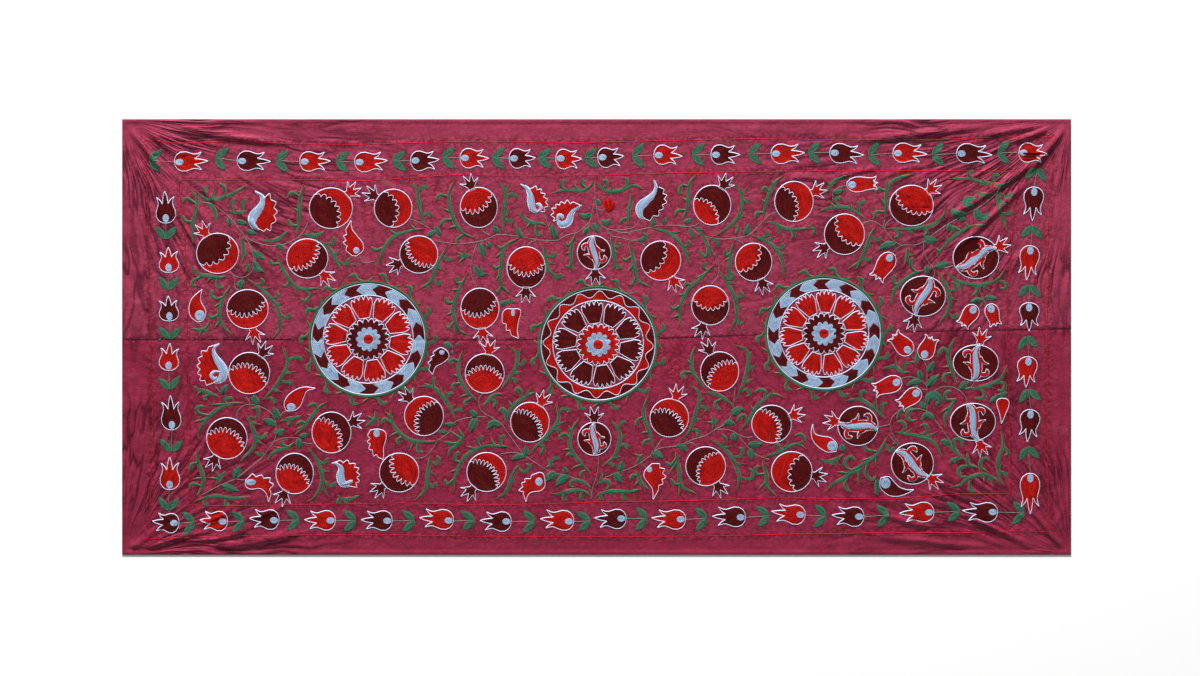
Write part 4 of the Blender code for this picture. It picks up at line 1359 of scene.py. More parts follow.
def cut_fruit(row):
    """One cut fruit from its row."""
    named = dict(zip(CUT_COLUMNS, row))
    centre = on_cloth(named["x"], named["y"])
    size = np.array((named["wide"], named["tall"])) * PIXEL / MM
    radius = float(np.mean(size))
    disc = placed(ellipse(size[0], size[1], 48), centre, 0)
    pad(MAROON, disc)
    turn = named["crown"]
    along = abs(math.cos(math.radians(turn)))
    reach = size[0] * along + size[1] * (1 - along)
    scale = np.array((reach, radius * named["side"]))

    def inside(points):
        return placed(np.array(points) * scale, centre, turn)

    size_share = radius / CUT_RADIUS
    stroke(inside(BAND_SHAPE), "leaf", 27 * size_share, RED, OUTLINE, 1.5, 0.6, on=0.6)
    for flip in (1, -1):
        for points, kind, width in ((THORN_SHAPE, "thorn", 11.0), (CURL_SHAPE, "curl", 8.5)):
            places = inside(np.array(points) * flip)
            stroke(places, kind, width * size_share, RED, OUTLINE, 1.5, 0.6, on=0.6)
    stroke(inside(BAND_SHAPE), "leaf", 15.5 * size_share, BLUE, OUTLINE, 1.6, 0.35, on=1.0)
    crown(LETTERS[named["crown_colour"]], radius, centre, turn)
    cord(OUTLINE, disc, height=1.2, closed=True)


for row in CUT_FRUITS:
    cut_fruit(row)
print(len(CUT_FRUITS), "cut pomegranates")

# %% [markdown]
# Small flowers. Drops with a pale ball, bells like the border's tulips, and two toned blooms sit between
# the fruits. A drop could be a formula like the leaf, but no two bend the same way. So each has two sides,
# a few places from the foot to the tip and back: soft curves, or a row of lobes that dips between each two
# peaks.

# %% Sides of a small flower
LOBE_DIP, LOBE_WIDTH = 7.0, 0.013


def lobes(places, middle):
    """A line through the peaks of a row of lobes, with a dip towards the middle between each two.

    The first and the last place are the tip and the foot, so there's no dip beside them.
    """
    t = np.linspace(0, 1, 9)[:-1, None]
    dip = LOBE_DIP * MM * (1.0 - np.abs(2 * t - 1)) ** 1.4
    line = []
    pairs = list(zip(places[:-1], places[1:]))
    for i, (here, there) in enumerate(pairs):
        inward = middle - (here + there) / 2
        deep = min(1.0, np.linalg.norm(there - here) / LOBE_WIDTH) ** 2 * (0 < i < len(pairs) - 1)
        line.append(here + (there - here) * t + inward / np.linalg.norm(inward) * dip * deep)
    return np.vstack(line + [places[-1:]])


def side(text, middle, lobed):
    """One side of a flower from its places."""
    places = np.array(reading(-1, text))
    return lobes(places, middle) if lobed else curve(places)


print("a full dip needs", LOBE_WIDTH / MM, "mm between peaks")

# %% Drops and bells
DROP_COLUMNS = (
    "colour", "ball_x", "ball_y", "ball_long", "ball_wide", "foot_to_tip", "tip_to_foot", "lobed"
)  # fmt: skip
DROPS = [
    ("R", 356.5, 250.5, 3.2, 3.4, "356.5,256.2 363.2,250.5 362.5,243 357.2,236.2 352,228.7 351.2,220.5",
     "351.2,220.5 346,229.5 343.7,236.2 343.3,243 346,250.5 352.7,256.3", 1),
    ("R", 513.2, 313, 2.0, 3.5,
     "503.5,311.5 507,309 512.5,309.2 519.2,309.2 520.7,313.7 518.5,322 517.4,331 518.5,338.5",
     "518.5,338.5 511.7,335.7 506.5,330.2 502.4,322.7 502.3,313.7", 1),
    ("R", 200, 315.5, 5.0, 5.3, "197.7,322.2 203,320.5 206,314 204.5,308 200.7,300.5 202.2,289.5",
     "202.2,289.5 192.5,298.2 189.2,308 191,317 197.7,322.2", 0),
    ("R", 291.2, 407, 4.5, 3.8, "288,411 294.5,410.5 300.5,406 304.2,397 307.2,391 315.5,388.3",
     "315.5,388.3 303.5,387.2 291.5,392.5 284.7,401.5 285.5,409.5 288,411", 0),
    ("R", 376.7, 433.5, 3.2, 3.8,
     "370.7,430.2 377.5,429.2 385,431.7 386.2,438.5 383.7,447.5 383.7,455 383.2,459.5",
     "383.2,459.5 378.5,457.5 373.7,456.2 369,449 367.4,442.2 367.6,435.5 370.7,430.2", 1),
    ("D", 442, 352.5, 2.8, 2.4,
     "437.2,349.3 441.7,347.8 447.7,352 448.5,358 442.5,363.2 435.7,367 432.7,374.5",
     "432.7,374.5 428.7,370 428,363.2 431,357.2 433.2,352.5 437.2,349.3", 1),
    ("R", 251, 482.2, 5.2, 3.2, "246,480 245.7,486 251,489.2 260,488.5 266,493 268.7,502",
     "268.7,502 271.2,494.5 273.8,484.7 270.5,478 261.5,475 252.5,473.8 246,480", 1),
    ("R", 539, 481.7, 3.7, 4.2, "539.5,472.3 543.5,474.5 545,485.5 540.5,490.7 531.5,492.2 527.7,496 526,502",
     "526,502 523.7,495 518.7,490.7 521.7,483.2 524.7,479 532.2,475 539.5,472.3", 1),
    ("R", 649.5, 469.5, 2.8, 3.0, "652,463.7 645.2,470.5 644.2,477.2 649,484 652.7,490 653.2,499.7",
     "653.2,499.7 658,491 663,484 666,477.2 664.7,469 659.5,463.7 652,463.7", 1),
    ("R", 832.2, 446, 5.0, 5.0, "836,451.5 837,444.5 830,437.7 821,436.2 814.5,433.2 812.7,424.2",
     "812.7,424.2 811.2,432 812.7,440 818,446.7 827,452 836,451.5", 0),
    ("D", 885.5, 483.2, 5.0, 5.5, "881,478 888.5,476.8 893.7,481.7 899,487 906.5,489.7 914,489.7",
     "914,489.7 906.5,493.7 897.5,496.3 888.5,495.2 881,489 880,482.5 881,478", 0),
    ("R", 1002.5, 403, 0, 0, "1001.7,398.2 1007,399.5 1009,404.5 1005.5,414 1001.5,423.7",
     "1001.5,423.7 999.5,414 996.8,405 997.5,400 1001.7,398.2", 0),
]  # fmt: skip


def drop(row):
    """One drop from its row."""
    named = dict(zip(DROP_COLUMNS, row))
    ball_place = on_cloth(named["ball_x"], named["ball_y"])
    middle = (np.array(reading(-1, named["foot_to_tip"])).mean(0) + ball_place) / 2
    first = side(named["foot_to_tip"], middle, 0)
    outline = np.vstack([first, side(named["tip_to_foot"], middle, named["lobed"])[1:-1]])
    outlined(LETTERS[named["colour"]], outline, 3.0, 3.6)
    if named["ball_long"]:
        ball(ball_place, named["ball_long"] * PIXEL / MM, named["ball_wide"] * PIXEL / MM, 0)


for row in DROPS:
    drop(row)

BELL_COLUMNS = ("ball_x", "ball_y", "tip_x", "tip_y", "colour", "wide")
BELLS = [
    (852.0, 185.0, 878.0, 183.0, "R", 0.80), (889.5, 258.0, 875.5, 280.0, "R", 0.95),
    (973.0, 310.0, 961.5, 326.5, "R", 0.85), (991.0, 309.0, 996.0, 326.5, "R", 0.75),
    (907.5, 350.0, 892.0, 334.5, "R", 0.95), (924.5, 354.5, 932.5, 336.5, "R", 0.90),
    (896.5, 382.5, 873.0, 391.0, "R", 0.90), (916.0, 393.5, 899.0, 406.5, "R", 0.85),
]

BELL_FOOT, BELL_LENGTH = 9, 62
BELL_BALL = (9.5, 8.5)
BELL_BODY = [
    (-3, 0), (-1.5, 9), (5, 17), (15, 21.5), (27, 21), (40, 17.5), (52, 15.5), (60, 20), (57, 11), (52, 8),
    (57, 6), (52, 4), (62, 0),
]  # fmt: skip


def bell(row):
    """A tulip on the field, without the border's leaves and with shorter lobes, from its row."""
    named = dict(zip(BELL_COLUMNS, row))
    middle = on_cloth(named["ball_x"], named["ball_y"])
    tip = on_cloth(named["tip_x"], named["tip_y"])
    heading = heading_of(middle, tip)
    length = np.linalg.norm(tip - middle) / MM
    stretch = np.array(((length + BELL_FOOT) / BELL_LENGTH, named["wide"]))
    base = middle - (tip - middle) / length * BELL_FOOT
    body = both_halves(BELL_BODY, stretch, stretch * np.array((1.0, -1.0)))
    outlined(LETTERS[named["colour"]], placed(body, base, heading), 3.1)
    ball(middle, *BELL_BALL, heading)


for row in BELLS:
    bell(row)
print(len(DROPS), "drops,", len(BELLS), "bells")

# %% [markdown]
# Two toned blooms. A pale blue body runs in an S from the tip to the foot, and red or maroon lobes stand
# along one side of it. The lobes are a filled shape, and the body is a stroke laid over its edge, with the
# pale outline as its border. Some end in a curl, which is one more stroke.

# %% Two toned blooms
BLOOM_COLUMNS = ("colour", "wide", "body", "lobes", "curl")
BLOOMS = [
    ("R", 21, "255.5,191.5 262.2,196.5 262.7,204 258.5,210.7 253.5,217.5 254,225 258.5,229",
     "258.5,229 264,231.5 270.5,231 276.2,221.2 277.5,212.2 276.2,202.5 269.7,193.4 264.5,198", ""),
    ("R", 17, "521.2,184.7 527.4,188.5 530.7,195.5 531.7,203 533.5,209 538,211.5",
     "538,211.5 544.5,212 548.2,206.2 547.8,199.8 545.2,194.2 541.2,189.3 536.2,186.2 530.5,189",
     "537,212 541,209 539.5,205 536.5,204"),
    ("R", 17, "581,205.8 573.5,210.5 570,216 567.5,222 561.5,224 557.5,219.5",
     "557.5,219.5 553.5,221.5 551,215.5 551.7,208.7 556,204.5 560.7,202 567.5,200.2 573.5,202.2 581,205.8",
     "557.7,220 558.5,215.5 562,216 562.5,219"),
    ("D", 19, "654.2,180.8 656.2,188 653,195.5 646.5,201.5 640.5,207.5 640.7,215 644,218.5",
     "644,218.5 649.7,221 658.7,216 663.2,209 666.8,202.5 666.7,195.5 664,189.5 658.7,187.2", ""),
    ("R", 20, "219,344 213.2,349.7 215.7,358 220.2,364.7 223,371.5 221,378.5 214.5,382.5",
     "214.5,382.5 206.7,385.5 200,380.5 197.8,373.7 197.2,366.2 198,358.7 201.5,351.2 209,347 219,344",
     "220,372 214.5,371.7 211.5,375.5 214.5,379.2 217,377"),
    ("R", 19, "332.7,463.2 338.2,464.2 341.7,469 341,476 343,482.5 349,486",
     "349,486 357,487.5 359.5,481.5 359.9,475 359,468.5 355.2,463.5 347.5,460 340.2,460.5 332.7,463.2",
     "343,484 348,483 352.5,480.5"),
]  # fmt: skip


def bloom(row):
    """One two toned bloom from its row."""
    named = dict(zip(BLOOM_COLUMNS, row))
    body = np.array(reading(-1, named["body"]))
    edge = side(named["lobes"], body.mean(0), 1)
    line = curve(body)
    first, last = (int(np.linalg.norm(line - end, axis=1).argmin()) for end in (edge[-1], edge[0]))
    pad(LETTERS[named["colour"]], np.vstack([line[first : last + 1], edge[1:-1]]))
    cord(OUTLINE, edge, height=1.1, width=3.0, loop=3.6)
    stroke(body, "drop", named["wide"], BLUE, OUTLINE, 1.7, 0.65, on=0.3)
    if named["curl"]:
        stroke(reading(-1, named["curl"]), "curl", 7.5, BLUE, OUTLINE, 0.8, 0.6, on=0.75)


for row in BLOOMS:
    bloom(row)
print(len(BLOOMS), "blooms")

# %% [markdown]
# The red frame lines. Two lines of thin red stitch run round the cloth, either side of the tulips. They
# were drawn along a pulled cloth, so they wander by a few millimetres.

# %% The frame lines
FRAME_LINES = [
    "145,140 179,143.5 235,141.4 290,144 355,144.8 419,142.7 483,141.6 578,143 659,141 754,139 845,140 "
    "942,139.5 1005,137.4 1052,137 1051,185 1048,230 1048,274 1047,331 1047.5,460 1048,486 1049.2,532 "
    "1014,531 958,533 902,532.4 851,533.3 788,534.3 736,535.6 660,536.5 480,536.5 402,535 300,535 "
    "230,536 149,538.8 150,513 152,468 154.5,450 152,394 151,335 149,297 149,260 148,206 146,158",
    "180,180 258,179.4 314,180 365,181 400,178.6 451,175 514,175.7 605,175.4 675,173 754,172 845,170.6 "
    "910,170.6 989,171.4 1020,171.5 1015,206 1011,245 1010.6,260 1007,300 1007,340 1009,402 1010,460 "
    "1010,493.4 958,494 888,499 775,498 711,500 680,501 595,502 544,504 480,505 402,503 315,504.6 "
    "230,506 189,505 189,468 191,450 190.3,419 188.3,368 187.7,335 186.4,271 186,260 184,222 179.5,190",
]
for line in FRAME_LINES:
    points = np.array(reading(-1, line))
    cord(FINE_RED, points, width=2.7, height=0.6, loop=4.6, closed=True)
print(len(FRAME_LINES), "frame lines")

# %% [markdown]
# The seam and the faint scrolls. A dark thread holds the two widths together, and shows as a thin line
# that drifts with the seam. Beside the stems a few scrolls are worked in a single line of fine red.

# %% The seam's stitches
SEAM_STOP = 0.004
seam_x = np.linspace(-HALF_LENGTH + SEAM_STOP, HALF_LENGTH - SEAM_STOP, 60)
cord(MAROON, np.stack([seam_x, seam_y(seam_x)], -1), width=1.3, height=0.25, loop=6.0)
print("the seam drifts by", round(float(np.ptp(seam_y(seam_x))) / MM), "mm")

# %% The fine red scrolls and a small red bud
RED_SCROLLS = """
363,203 365,209 365,217 368,225 371,232 373,238; 364,216 368,214 371,217 369,221 366,219;
672,179 671,190 671,198 670,206; 669,196 675,193; 670,350 668,358 667,368 666,380;
672,345 678,343 681,348 677,353 673,350; 671,363 676,360 680,364 676,369 671,367;
670,374 674,371 676,375 672,378; 437,180 435,188 434,195 432,201
"""
scrolls = RED_SCROLLS.split(";")
for line in scrolls:
    cord(FINE_RED, reading(-1, line), width=2.2, height=0.5, smooth_line=True)
for line in ("605,199 606,206 609,213", "609,198 610,205 609,213", "614,202 612,207 609,212"):
    ribbon(RED, reading(-1, line), "leaf", 13.0, 0.7)
print(len(scrolls), "red scrolls")

# %% [markdown]
# From shapes to meshes. All the shapes of one thread are joined into one mesh with one UV map. Edges
# sharper than the rim angle are shaded sharp: with smooth shading right over its rim, flat stitching
# would look like a cushion.

# %% Turn the threads into meshes
THREAD_NAMES = {
    OUTLINE: "stitched_outlines",
    RED: "stitched_red",
    MAROON: "stitched_maroon",
    BLUE: "stitched_blue",
    GREEN: "stitched_green",
    GREY_GREEN: "stitched_stems",
    FINE_RED: "stitched_fine_red",
}
RIM_ANGLE = 60
pieces = {}
for name, gathered in threads.items():
    pieces[name] = mesh_object(
        THREAD_NAMES[name],
        np.concatenate(gathered.places),
        np.concatenate(gathered.triangles),
        np.concatenate(gathered.maps),
    )
    pieces[name].data.set_sharp_from_angle(angle=math.radians(RIM_ANGLE))
    print(THREAD_NAMES[name], len(pieces[name].data.polygons), "triangles")

# %% [markdown]
# Where the stitching draws the cloth in. Satin puckers beside a stitched shape and lies calm away from it.
# So each place of the cloth's mesh is given a value that says how near it is to a thread, and the satin's
# material reads it to know where to pucker and where to paint the puckers' shade. It could be a painted
# mask, but the threads are already there to measure from.

# %% Mark the cloth near the threads
PUCKER_REACH = 0.016
stitched_places = np.concatenate([np.concatenate(gathered.places)[::3, :2] for gathered in threads.values()])
tree = KDTree(len(stitched_places))
for i, (x, y) in enumerate(stitched_places):
    tree.insert((x, y, 0.0), i)
tree.balance()
for name, cloth in cloths.items():
    places = np.zeros(len(cloth.data.vertices) * 3, dtype=np.float32)
    cloth.data.vertices.foreach_get("co", places)
    away = np.array([tree.find((x, y, 0.0))[2] for x, y, _ in places.reshape(-1, 3)])
    near = 1.0 - smooth(away / PUCKER_REACH)
    mark = cloth.data.attributes.new(name="near_stitching", type="FLOAT", domain="POINT")
    mark.data.foreach_set("value", near.astype(np.float32))
    print(name, "is", round(float(near.mean()) * 100), "% beside stitching")

# %% [markdown]
# Shared effects. A node group holds each effect once, with named inputs and outputs, so that every thread
# uses the same chain stitch and both widths use the same satin. A group puts out only what changes from
# place to place: a colour, a roughness and a height. The surface itself stays in each material.

# %% Small helpers for node groups
INPUT_KINDS = {"vector": "NodeSocketVector", "colour": "NodeSocketColor", "value": "NodeSocketFloat"}


class Nodes:
    """Adds nodes to one tree and wires them, with numbers or sockets as their inputs."""

    def __init__(self, tree):
        self.tree = tree

    def add(self, kind, *inputs, output=0, **settings):
        node = self.tree.nodes.new(kind)
        for key, value in settings.items():
            setattr(node, key, value)
        for socket, value in zip(node.inputs, inputs):
            self.give(socket, value)
        return node.outputs[output]

    def give(self, socket, value):
        if isinstance(value, bpy.types.NodeSocket):
            self.tree.links.new(value, socket)
        else:
            socket.default_value = value

    def maths(self, operation, *inputs):
        return self.add("ShaderNodeMath", *inputs, operation=operation)

    def vector(self, operation, *inputs, output=0):
        return self.add("ShaderNodeVectorMath", *inputs, operation=operation, output=output)

    def combine(self, x, y, z):
        return self.add("ShaderNodeCombineXYZ", x, y, z)

    def range(self, value, low, high, to_low=0.0, to_high=1.0):
        """A soft step from low to high."""
        node = self.tree.nodes.new("ShaderNodeMapRange")
        node.interpolation_type = "SMOOTHSTEP"
        for socket, given in zip(node.inputs, (value, low, high, to_low, to_high)):
            self.give(socket, given)
        return node.outputs["Result"]

    def noise(self, place, scale, detail, roughness=0.5):
        node = self.tree.nodes.new("ShaderNodeTexNoise")
        node.noise_dimensions = "3D"
        for key, given in (("Vector", place), ("Scale", scale), ("Detail", detail), ("Roughness", roughness)):
            self.give(node.inputs[key], given)
        return node.outputs[0]

    def tint(self, share, colour, other):
        """Two colours mixed by a share."""
        node = self.tree.nodes.new("ShaderNodeMix")
        node.data_type = "RGBA"
        self.give(node.inputs[0], share)
        self.give(node.inputs[6], colour)
        self.give(node.inputs[7], other)
        return node.outputs[2]


def new_group(name, inputs, outputs):
    """An empty node group with named inputs and outputs: its nodes, input node and output node."""
    tree = bpy.data.node_groups.new(name, "ShaderNodeTree")
    for direction, sockets in (("INPUT", inputs), ("OUTPUT", outputs)):
        for label, kind, *start in sockets:
            socket = tree.interface.new_socket(name=label, in_out=direction, socket_type=INPUT_KINDS[kind])
            if start:
                socket.default_value = start[0]
    return Nodes(tree), tree.nodes.new("NodeGroupInput"), tree.nodes.new("NodeGroupOutput")


def use_group(nodes, group, **given):
    """One use of a node group, with its inputs wired."""
    used = nodes.tree.nodes.new("ShaderNodeGroup")
    used.node_tree = group.tree
    for label, value in given.items():
        nodes.give(used.inputs[label], value)
    return used


print("kinds of input:", *INPUT_KINDS)

# %% [markdown]
# Corner creases. Where the cloth is pulled, creases finer than the mesh fan out from the corner. The group
# measures the angle and the distance from a corner, and a noise drawn out along the distance gives sharp
# valleys that open as they go, and fade at their reach. A slow noise lets them show only where the cloth
# happened to be pulled, so that they don't fan out evenly.

# %% The corner creases group
streaks, entry, leave = new_group(
    "Corner creases",
    [("Place", "vector"), ("Corner", "vector"), ("Streaks", "value", 34.0), ("Reach", "value", 0.6),
     ("Seed", "value", 0.0)],
    [("Height", "value"), ("Crease", "value")],
)  # fmt: skip
away = streaks.vector("ABSOLUTE", streaks.vector("SUBTRACT", entry.outputs["Place"], entry.outputs["Corner"]))
parts = streaks.tree.nodes.new("ShaderNodeSeparateXYZ")
streaks.give(parts.inputs[0], away)
angle = streaks.maths("ARCTAN2", parts.outputs["Y"], parts.outputs["X"])
distance = streaks.vector("LENGTH", away, output=1)
bent = streaks.maths("MULTIPLY_ADD", streaks.noise(entry.outputs["Place"], 5.0, 1.0), 0.16, angle)
lined = streaks.combine(
    streaks.maths("MULTIPLY", bent, entry.outputs["Streaks"]),
    streaks.maths("MULTIPLY", distance, 6.5),
    entry.outputs["Seed"],
)
ridge = streaks.maths("MULTIPLY_ADD", streaks.noise(lined, 1.0, 2.0, 0.5), 4.0, -2.0)
ridge = streaks.maths("ABSOLUTE", ridge)
begun = streaks.range(distance, 0.01, 0.08)
faded = streaks.range(
    distance, streaks.maths("MULTIPLY", entry.outputs["Reach"], 0.3), entry.outputs["Reach"], 1.0, 0.0
)
pulled = streaks.range(streaks.noise(entry.outputs["Place"], 4.5, 1.0), 0.40, 0.60, 0.18, 1.1)
shown = streaks.maths("MULTIPLY", streaks.maths("MULTIPLY", begun, faded), pulled)
streaks.give(leave.inputs["Height"], streaks.maths("MULTIPLY", streaks.maths("MINIMUM", ridge, 1.0), shown))
# Painted shade: the Crease output darkens the satin's colour in the valleys of the creases.
dark = streaks.range(ridge, 0.02, 0.30, 1.0, 0.0)
streaks.give(leave.inputs["Crease"], streaks.maths("MULTIPLY", dark, shown))
print("corner creases:", len(streaks.tree.nodes), "nodes")

# %% [markdown]
# Satin. Its long floats run with the length of the cloth, so light slides along them. What shows from a
# step away is not the weave but its faults: slubs, thicker threads that run a hand's width and stop, both
# along and across. Small crumples from being folded away lie over them, with puckers beside the stitching.
# Light hardly reaches into a crease, so painted shade darkens the colour in the creases and in the valleys
# of the puckers, and the crests of the crumples take a paler, rougher tint. Painted shade also draws a dark
# line along the seam, where the two widths turn down.

# %% The satin group
satin, entry, leave = new_group(
    "Satin cloth",
    [("Place", "vector"), ("Colour", "colour", (0.3, 0.04, 0.08, 1)), ("Stitching", "value", 0.0),
     ("Polish", "value", 0.36)],
    [("Colour", "colour"), ("Roughness", "value"), ("Height", "value")],
)  # fmt: skip
place = entry.outputs["Place"]
slub_along = satin.noise(satin.vector("MULTIPLY", place, (12.0, 420.0, 1.0)), 1.0, 2.0)
slub_across = satin.noise(satin.vector("MULTIPLY", place, (400.0, 14.0, 1.0)), 1.0, 2.0)
floats = satin.noise(satin.vector("MULTIPLY", place, (900.0, 3200.0, 1.0)), 1.0, 1.0)
crumpled = satin.noise(place, 20.0, 4.0, 0.60)
folded = satin.maths("ABSOLUTE", satin.maths("MULTIPLY_ADD", satin.noise(place, 52.0, 2.0, 0.55), 4.0, -2.0))
folded = satin.maths("MINIMUM", folded, 1.0)
drawn_in = satin.maths("MULTIPLY_ADD", entry.outputs["Stitching"], 0.75, 0.25)
height = satin.maths("MULTIPLY", crumpled, 2.2)
height = satin.maths("MULTIPLY_ADD", satin.maths("MULTIPLY", folded, drawn_in), 0.62, height)
for part, share in ((slub_along, 0.16), (slub_across, 0.13), (floats, 0.05)):
    height = satin.maths("MULTIPLY_ADD", part, share, height)
CREASE_COLUMNS = ("corner", "Streaks", "Reach", "Seed")
CORNER_CREASES = [
    ("back_left", 13, 0.95, 1.3), ("back_right", 15, 1.15, 5.9),
    ("front_left", 11, 0.75, 9.4), ("front_right", 11, 0.75, 14.2),
]  # fmt: skip
CREASE_HEIGHT, CREASE_SHADE = 2.9, 0.55
creases = None
for row in CORNER_CREASES:
    named = dict(zip(CREASE_COLUMNS, row))
    side_x, side_y = CORNERS[named.pop("corner")]
    corner = (side_x * HALF_LENGTH, side_y * HALF_WIDTH, 0)
    used = use_group(satin, streaks, Place=place, Corner=corner, **named)
    height = satin.maths("MULTIPLY_ADD", used.outputs["Height"], CREASE_HEIGHT, height)
    made = used.outputs["Crease"]
    creases = made if creases is None else satin.maths("MAXIMUM", creases, made)
satin.give(leave.inputs["Height"], height)
patchy = satin.noise(place, 5.0, 3.0, 0.6)
shade = satin.maths("MULTIPLY_ADD", slub_along, 0.34, 0.74)
shade = satin.maths("MULTIPLY_ADD", slub_across, 0.24, shade)
shade = satin.maths("MULTIPLY", shade, satin.range(patchy, 0.25, 0.75, 0.92, 1.06))
# Painted shade in the corner creases.
shade = satin.maths("MULTIPLY", shade, satin.maths("MULTIPLY_ADD", creases, -CREASE_SHADE, 1.0))
# Painted shade in the valleys of the puckers beside the stitching.
pucker_shade = satin.maths("MULTIPLY", satin.range(folded, 0.0, 0.40, 0.48, 0.0), drawn_in)
shade = satin.maths("MULTIPLY", shade, satin.maths("SUBTRACT", 1.0, pucker_shade))
across = satin.tree.nodes.new("ShaderNodeSeparateXYZ")
satin.give(across.inputs[0], place)
SEAM_SCALE = 10
curve_node = satin.tree.nodes.new("ShaderNodeFloatCurve")
seam_place = satin.maths("MULTIPLY_ADD", across.outputs["X"], 1 / CLOTH_LENGTH, 0.5)
satin.give(curve_node.inputs["Value"], seam_place)
points = curve_node.mapping.curves[0].points
wanted = [((x + HALF_LENGTH) / CLOTH_LENGTH, 0.5 + y * SEAM_SCALE) for x, y in SEAM_LINE]
points[0].location, points[-1].location = wanted[0], wanted[-1]
for pair in wanted[1:-1]:
    points.new(*pair).handle_type = "VECTOR"
curve_node.mapping.update()
seam_centre = satin.maths("MULTIPLY_ADD", curve_node.outputs[0], 1 / SEAM_SCALE, -0.5 / SEAM_SCALE)
from_seam = satin.maths("ABSOLUTE", satin.maths("SUBTRACT", across.outputs["Y"], seam_centre))
# Painted shade: a dark line along the seam, where the two widths turn down into it.
shade = satin.maths("MULTIPLY", shade, satin.range(from_seam, 0.0008, 0.0034, 0.60, 1.0))
# The dye's colour times the shade, painted shade included.
dye_with_painted_light = satin.vector("SCALE", entry.outputs["Colour"])
satin.give(dye_with_painted_light.node.inputs["Scale"], shade)
# A paler, rougher tint on the crests of the crumples.
crest_share = satin.range(crumpled, 0.56, 0.76, 0.0, 0.14)
satin.give(leave.inputs["Colour"], satin.tint(crest_share, dye_with_painted_light, (0.46, 0.12, 0.19, 1)))
rough = satin.maths("MULTIPLY_ADD", slub_along, 0.16, satin.maths("SUBTRACT", entry.outputs["Polish"], 0.08))
rough = satin.maths("MULTIPLY_ADD", entry.outputs["Stitching"], 0.06, rough)
satin.give(leave.inputs["Roughness"], satin.maths("MULTIPLY_ADD", crest_share, 0.5, rough))
print("satin:", len(satin.tree.nodes), "nodes")

# %% [markdown]
# Chain stitch. The mesh gives each place its distance along the row and across it. The group counts rows
# across and loops along, with every row shifted from its neighbour, and rounds each loop into a small
# bead. The dye differs from one length of thread to the next, so rows vary in shade. A slow noise paints
# the sheen that makes silk lighter or darker with the direction of its stitch, and painted shade darkens
# the hollows between the beads.

# %% The chain stitch group
stitch, entry, leave = new_group(
    "Chain stitch",
    [("Stitch", "vector"), ("Place", "vector"), ("Colour", "colour", (0.5, 0.5, 0.5, 1)),
     ("Row", "value", 0.0019), ("Loop", "value", 0.0042), ("Variety", "value", 0.25)],
    [("Colour", "colour"), ("Roughness", "value"), ("Height", "value")],
)  # fmt: skip
parts = stitch.tree.nodes.new("ShaderNodeSeparateXYZ")
stitch.give(parts.inputs[0], entry.outputs["Stitch"])
rows = stitch.maths("DIVIDE", parts.outputs["Y"], entry.outputs["Row"])
row = stitch.maths("FLOOR", rows)
within = stitch.maths("FRACT", rows)
rounded = stitch.maths("POWER", stitch.maths("SINE", stitch.maths("MULTIPLY", within, math.pi)), 0.6)
loops = stitch.maths("DIVIDE", parts.outputs["X"], entry.outputs["Loop"])
shifted = stitch.maths("MULTIPLY_ADD", row, 0.37, loops)
aside = stitch.maths("ABSOLUTE", stitch.maths("SUBTRACT", within, 0.5))
slant = stitch.maths("MULTIPLY_ADD", aside, 0.5, shifted)
swing = stitch.maths("SINE", stitch.maths("MULTIPLY", slant, math.pi))
bead = stitch.maths("POWER", stitch.maths("ABSOLUTE", swing), 0.5)
strands = stitch.noise(stitch.combine(slant, stitch.maths("MULTIPLY", rows, 9.0), 0.0), 1.0, 1.0)
height = stitch.maths("MULTIPLY", rounded, stitch.maths("MULTIPLY_ADD", bead, 0.45, 0.50))
height = stitch.maths("MULTIPLY_ADD", strands, 0.12, height)
stitch.give(leave.inputs["Height"], height)
lengths = stitch.noise(stitch.combine(stitch.maths("MULTIPLY", parts.outputs["X"], 16.0), row, 0.5), 1.3, 1.0)
# Painted sheen: a slow noise makes the silk lighter or darker in patches, as its stitch turns to the light.
painted_sheen = stitch.noise(entry.outputs["Place"], 42.0, 2.0)
dye_and_sheen = stitch.maths("MULTIPLY_ADD", lengths, 1.5, stitch.maths("MULTIPLY_ADD", painted_sheen, 0.6, -1.05))
dye_and_sheen = stitch.maths("MULTIPLY_ADD", dye_and_sheen, stitch.maths("MULTIPLY", entry.outputs["Variety"], 3.0), 1.0)
# Painted shade in the hollows between the beads and rows.
painted_hollow_shade = stitch.range(height, 0.05, 0.75, 0.50, 1.06)
# The dye's colour times its variation, painted sheen and painted shade included.
dye_with_painted_light = stitch.vector("SCALE", entry.outputs["Colour"])
stitch.give(dye_with_painted_light.node.inputs["Scale"], stitch.maths("MULTIPLY", dye_and_sheen, painted_hollow_shade))
stitch.give(leave.inputs["Colour"], dye_with_painted_light)
stitch.give(leave.inputs["Roughness"], stitch.range(height, 0.0, 0.9, 0.66, 0.40))
print("chain stitch:", len(stitch.tree.nodes), "nodes")

# %% [markdown]
# The materials. Each thread has one of its own, because each has its own colour and its own loop. It
# reflects little, because its strands scatter the light. The two widths of satin share one group, but
# each has its own material and its own dye: the lower width is a touch darker, as on the real cloth.

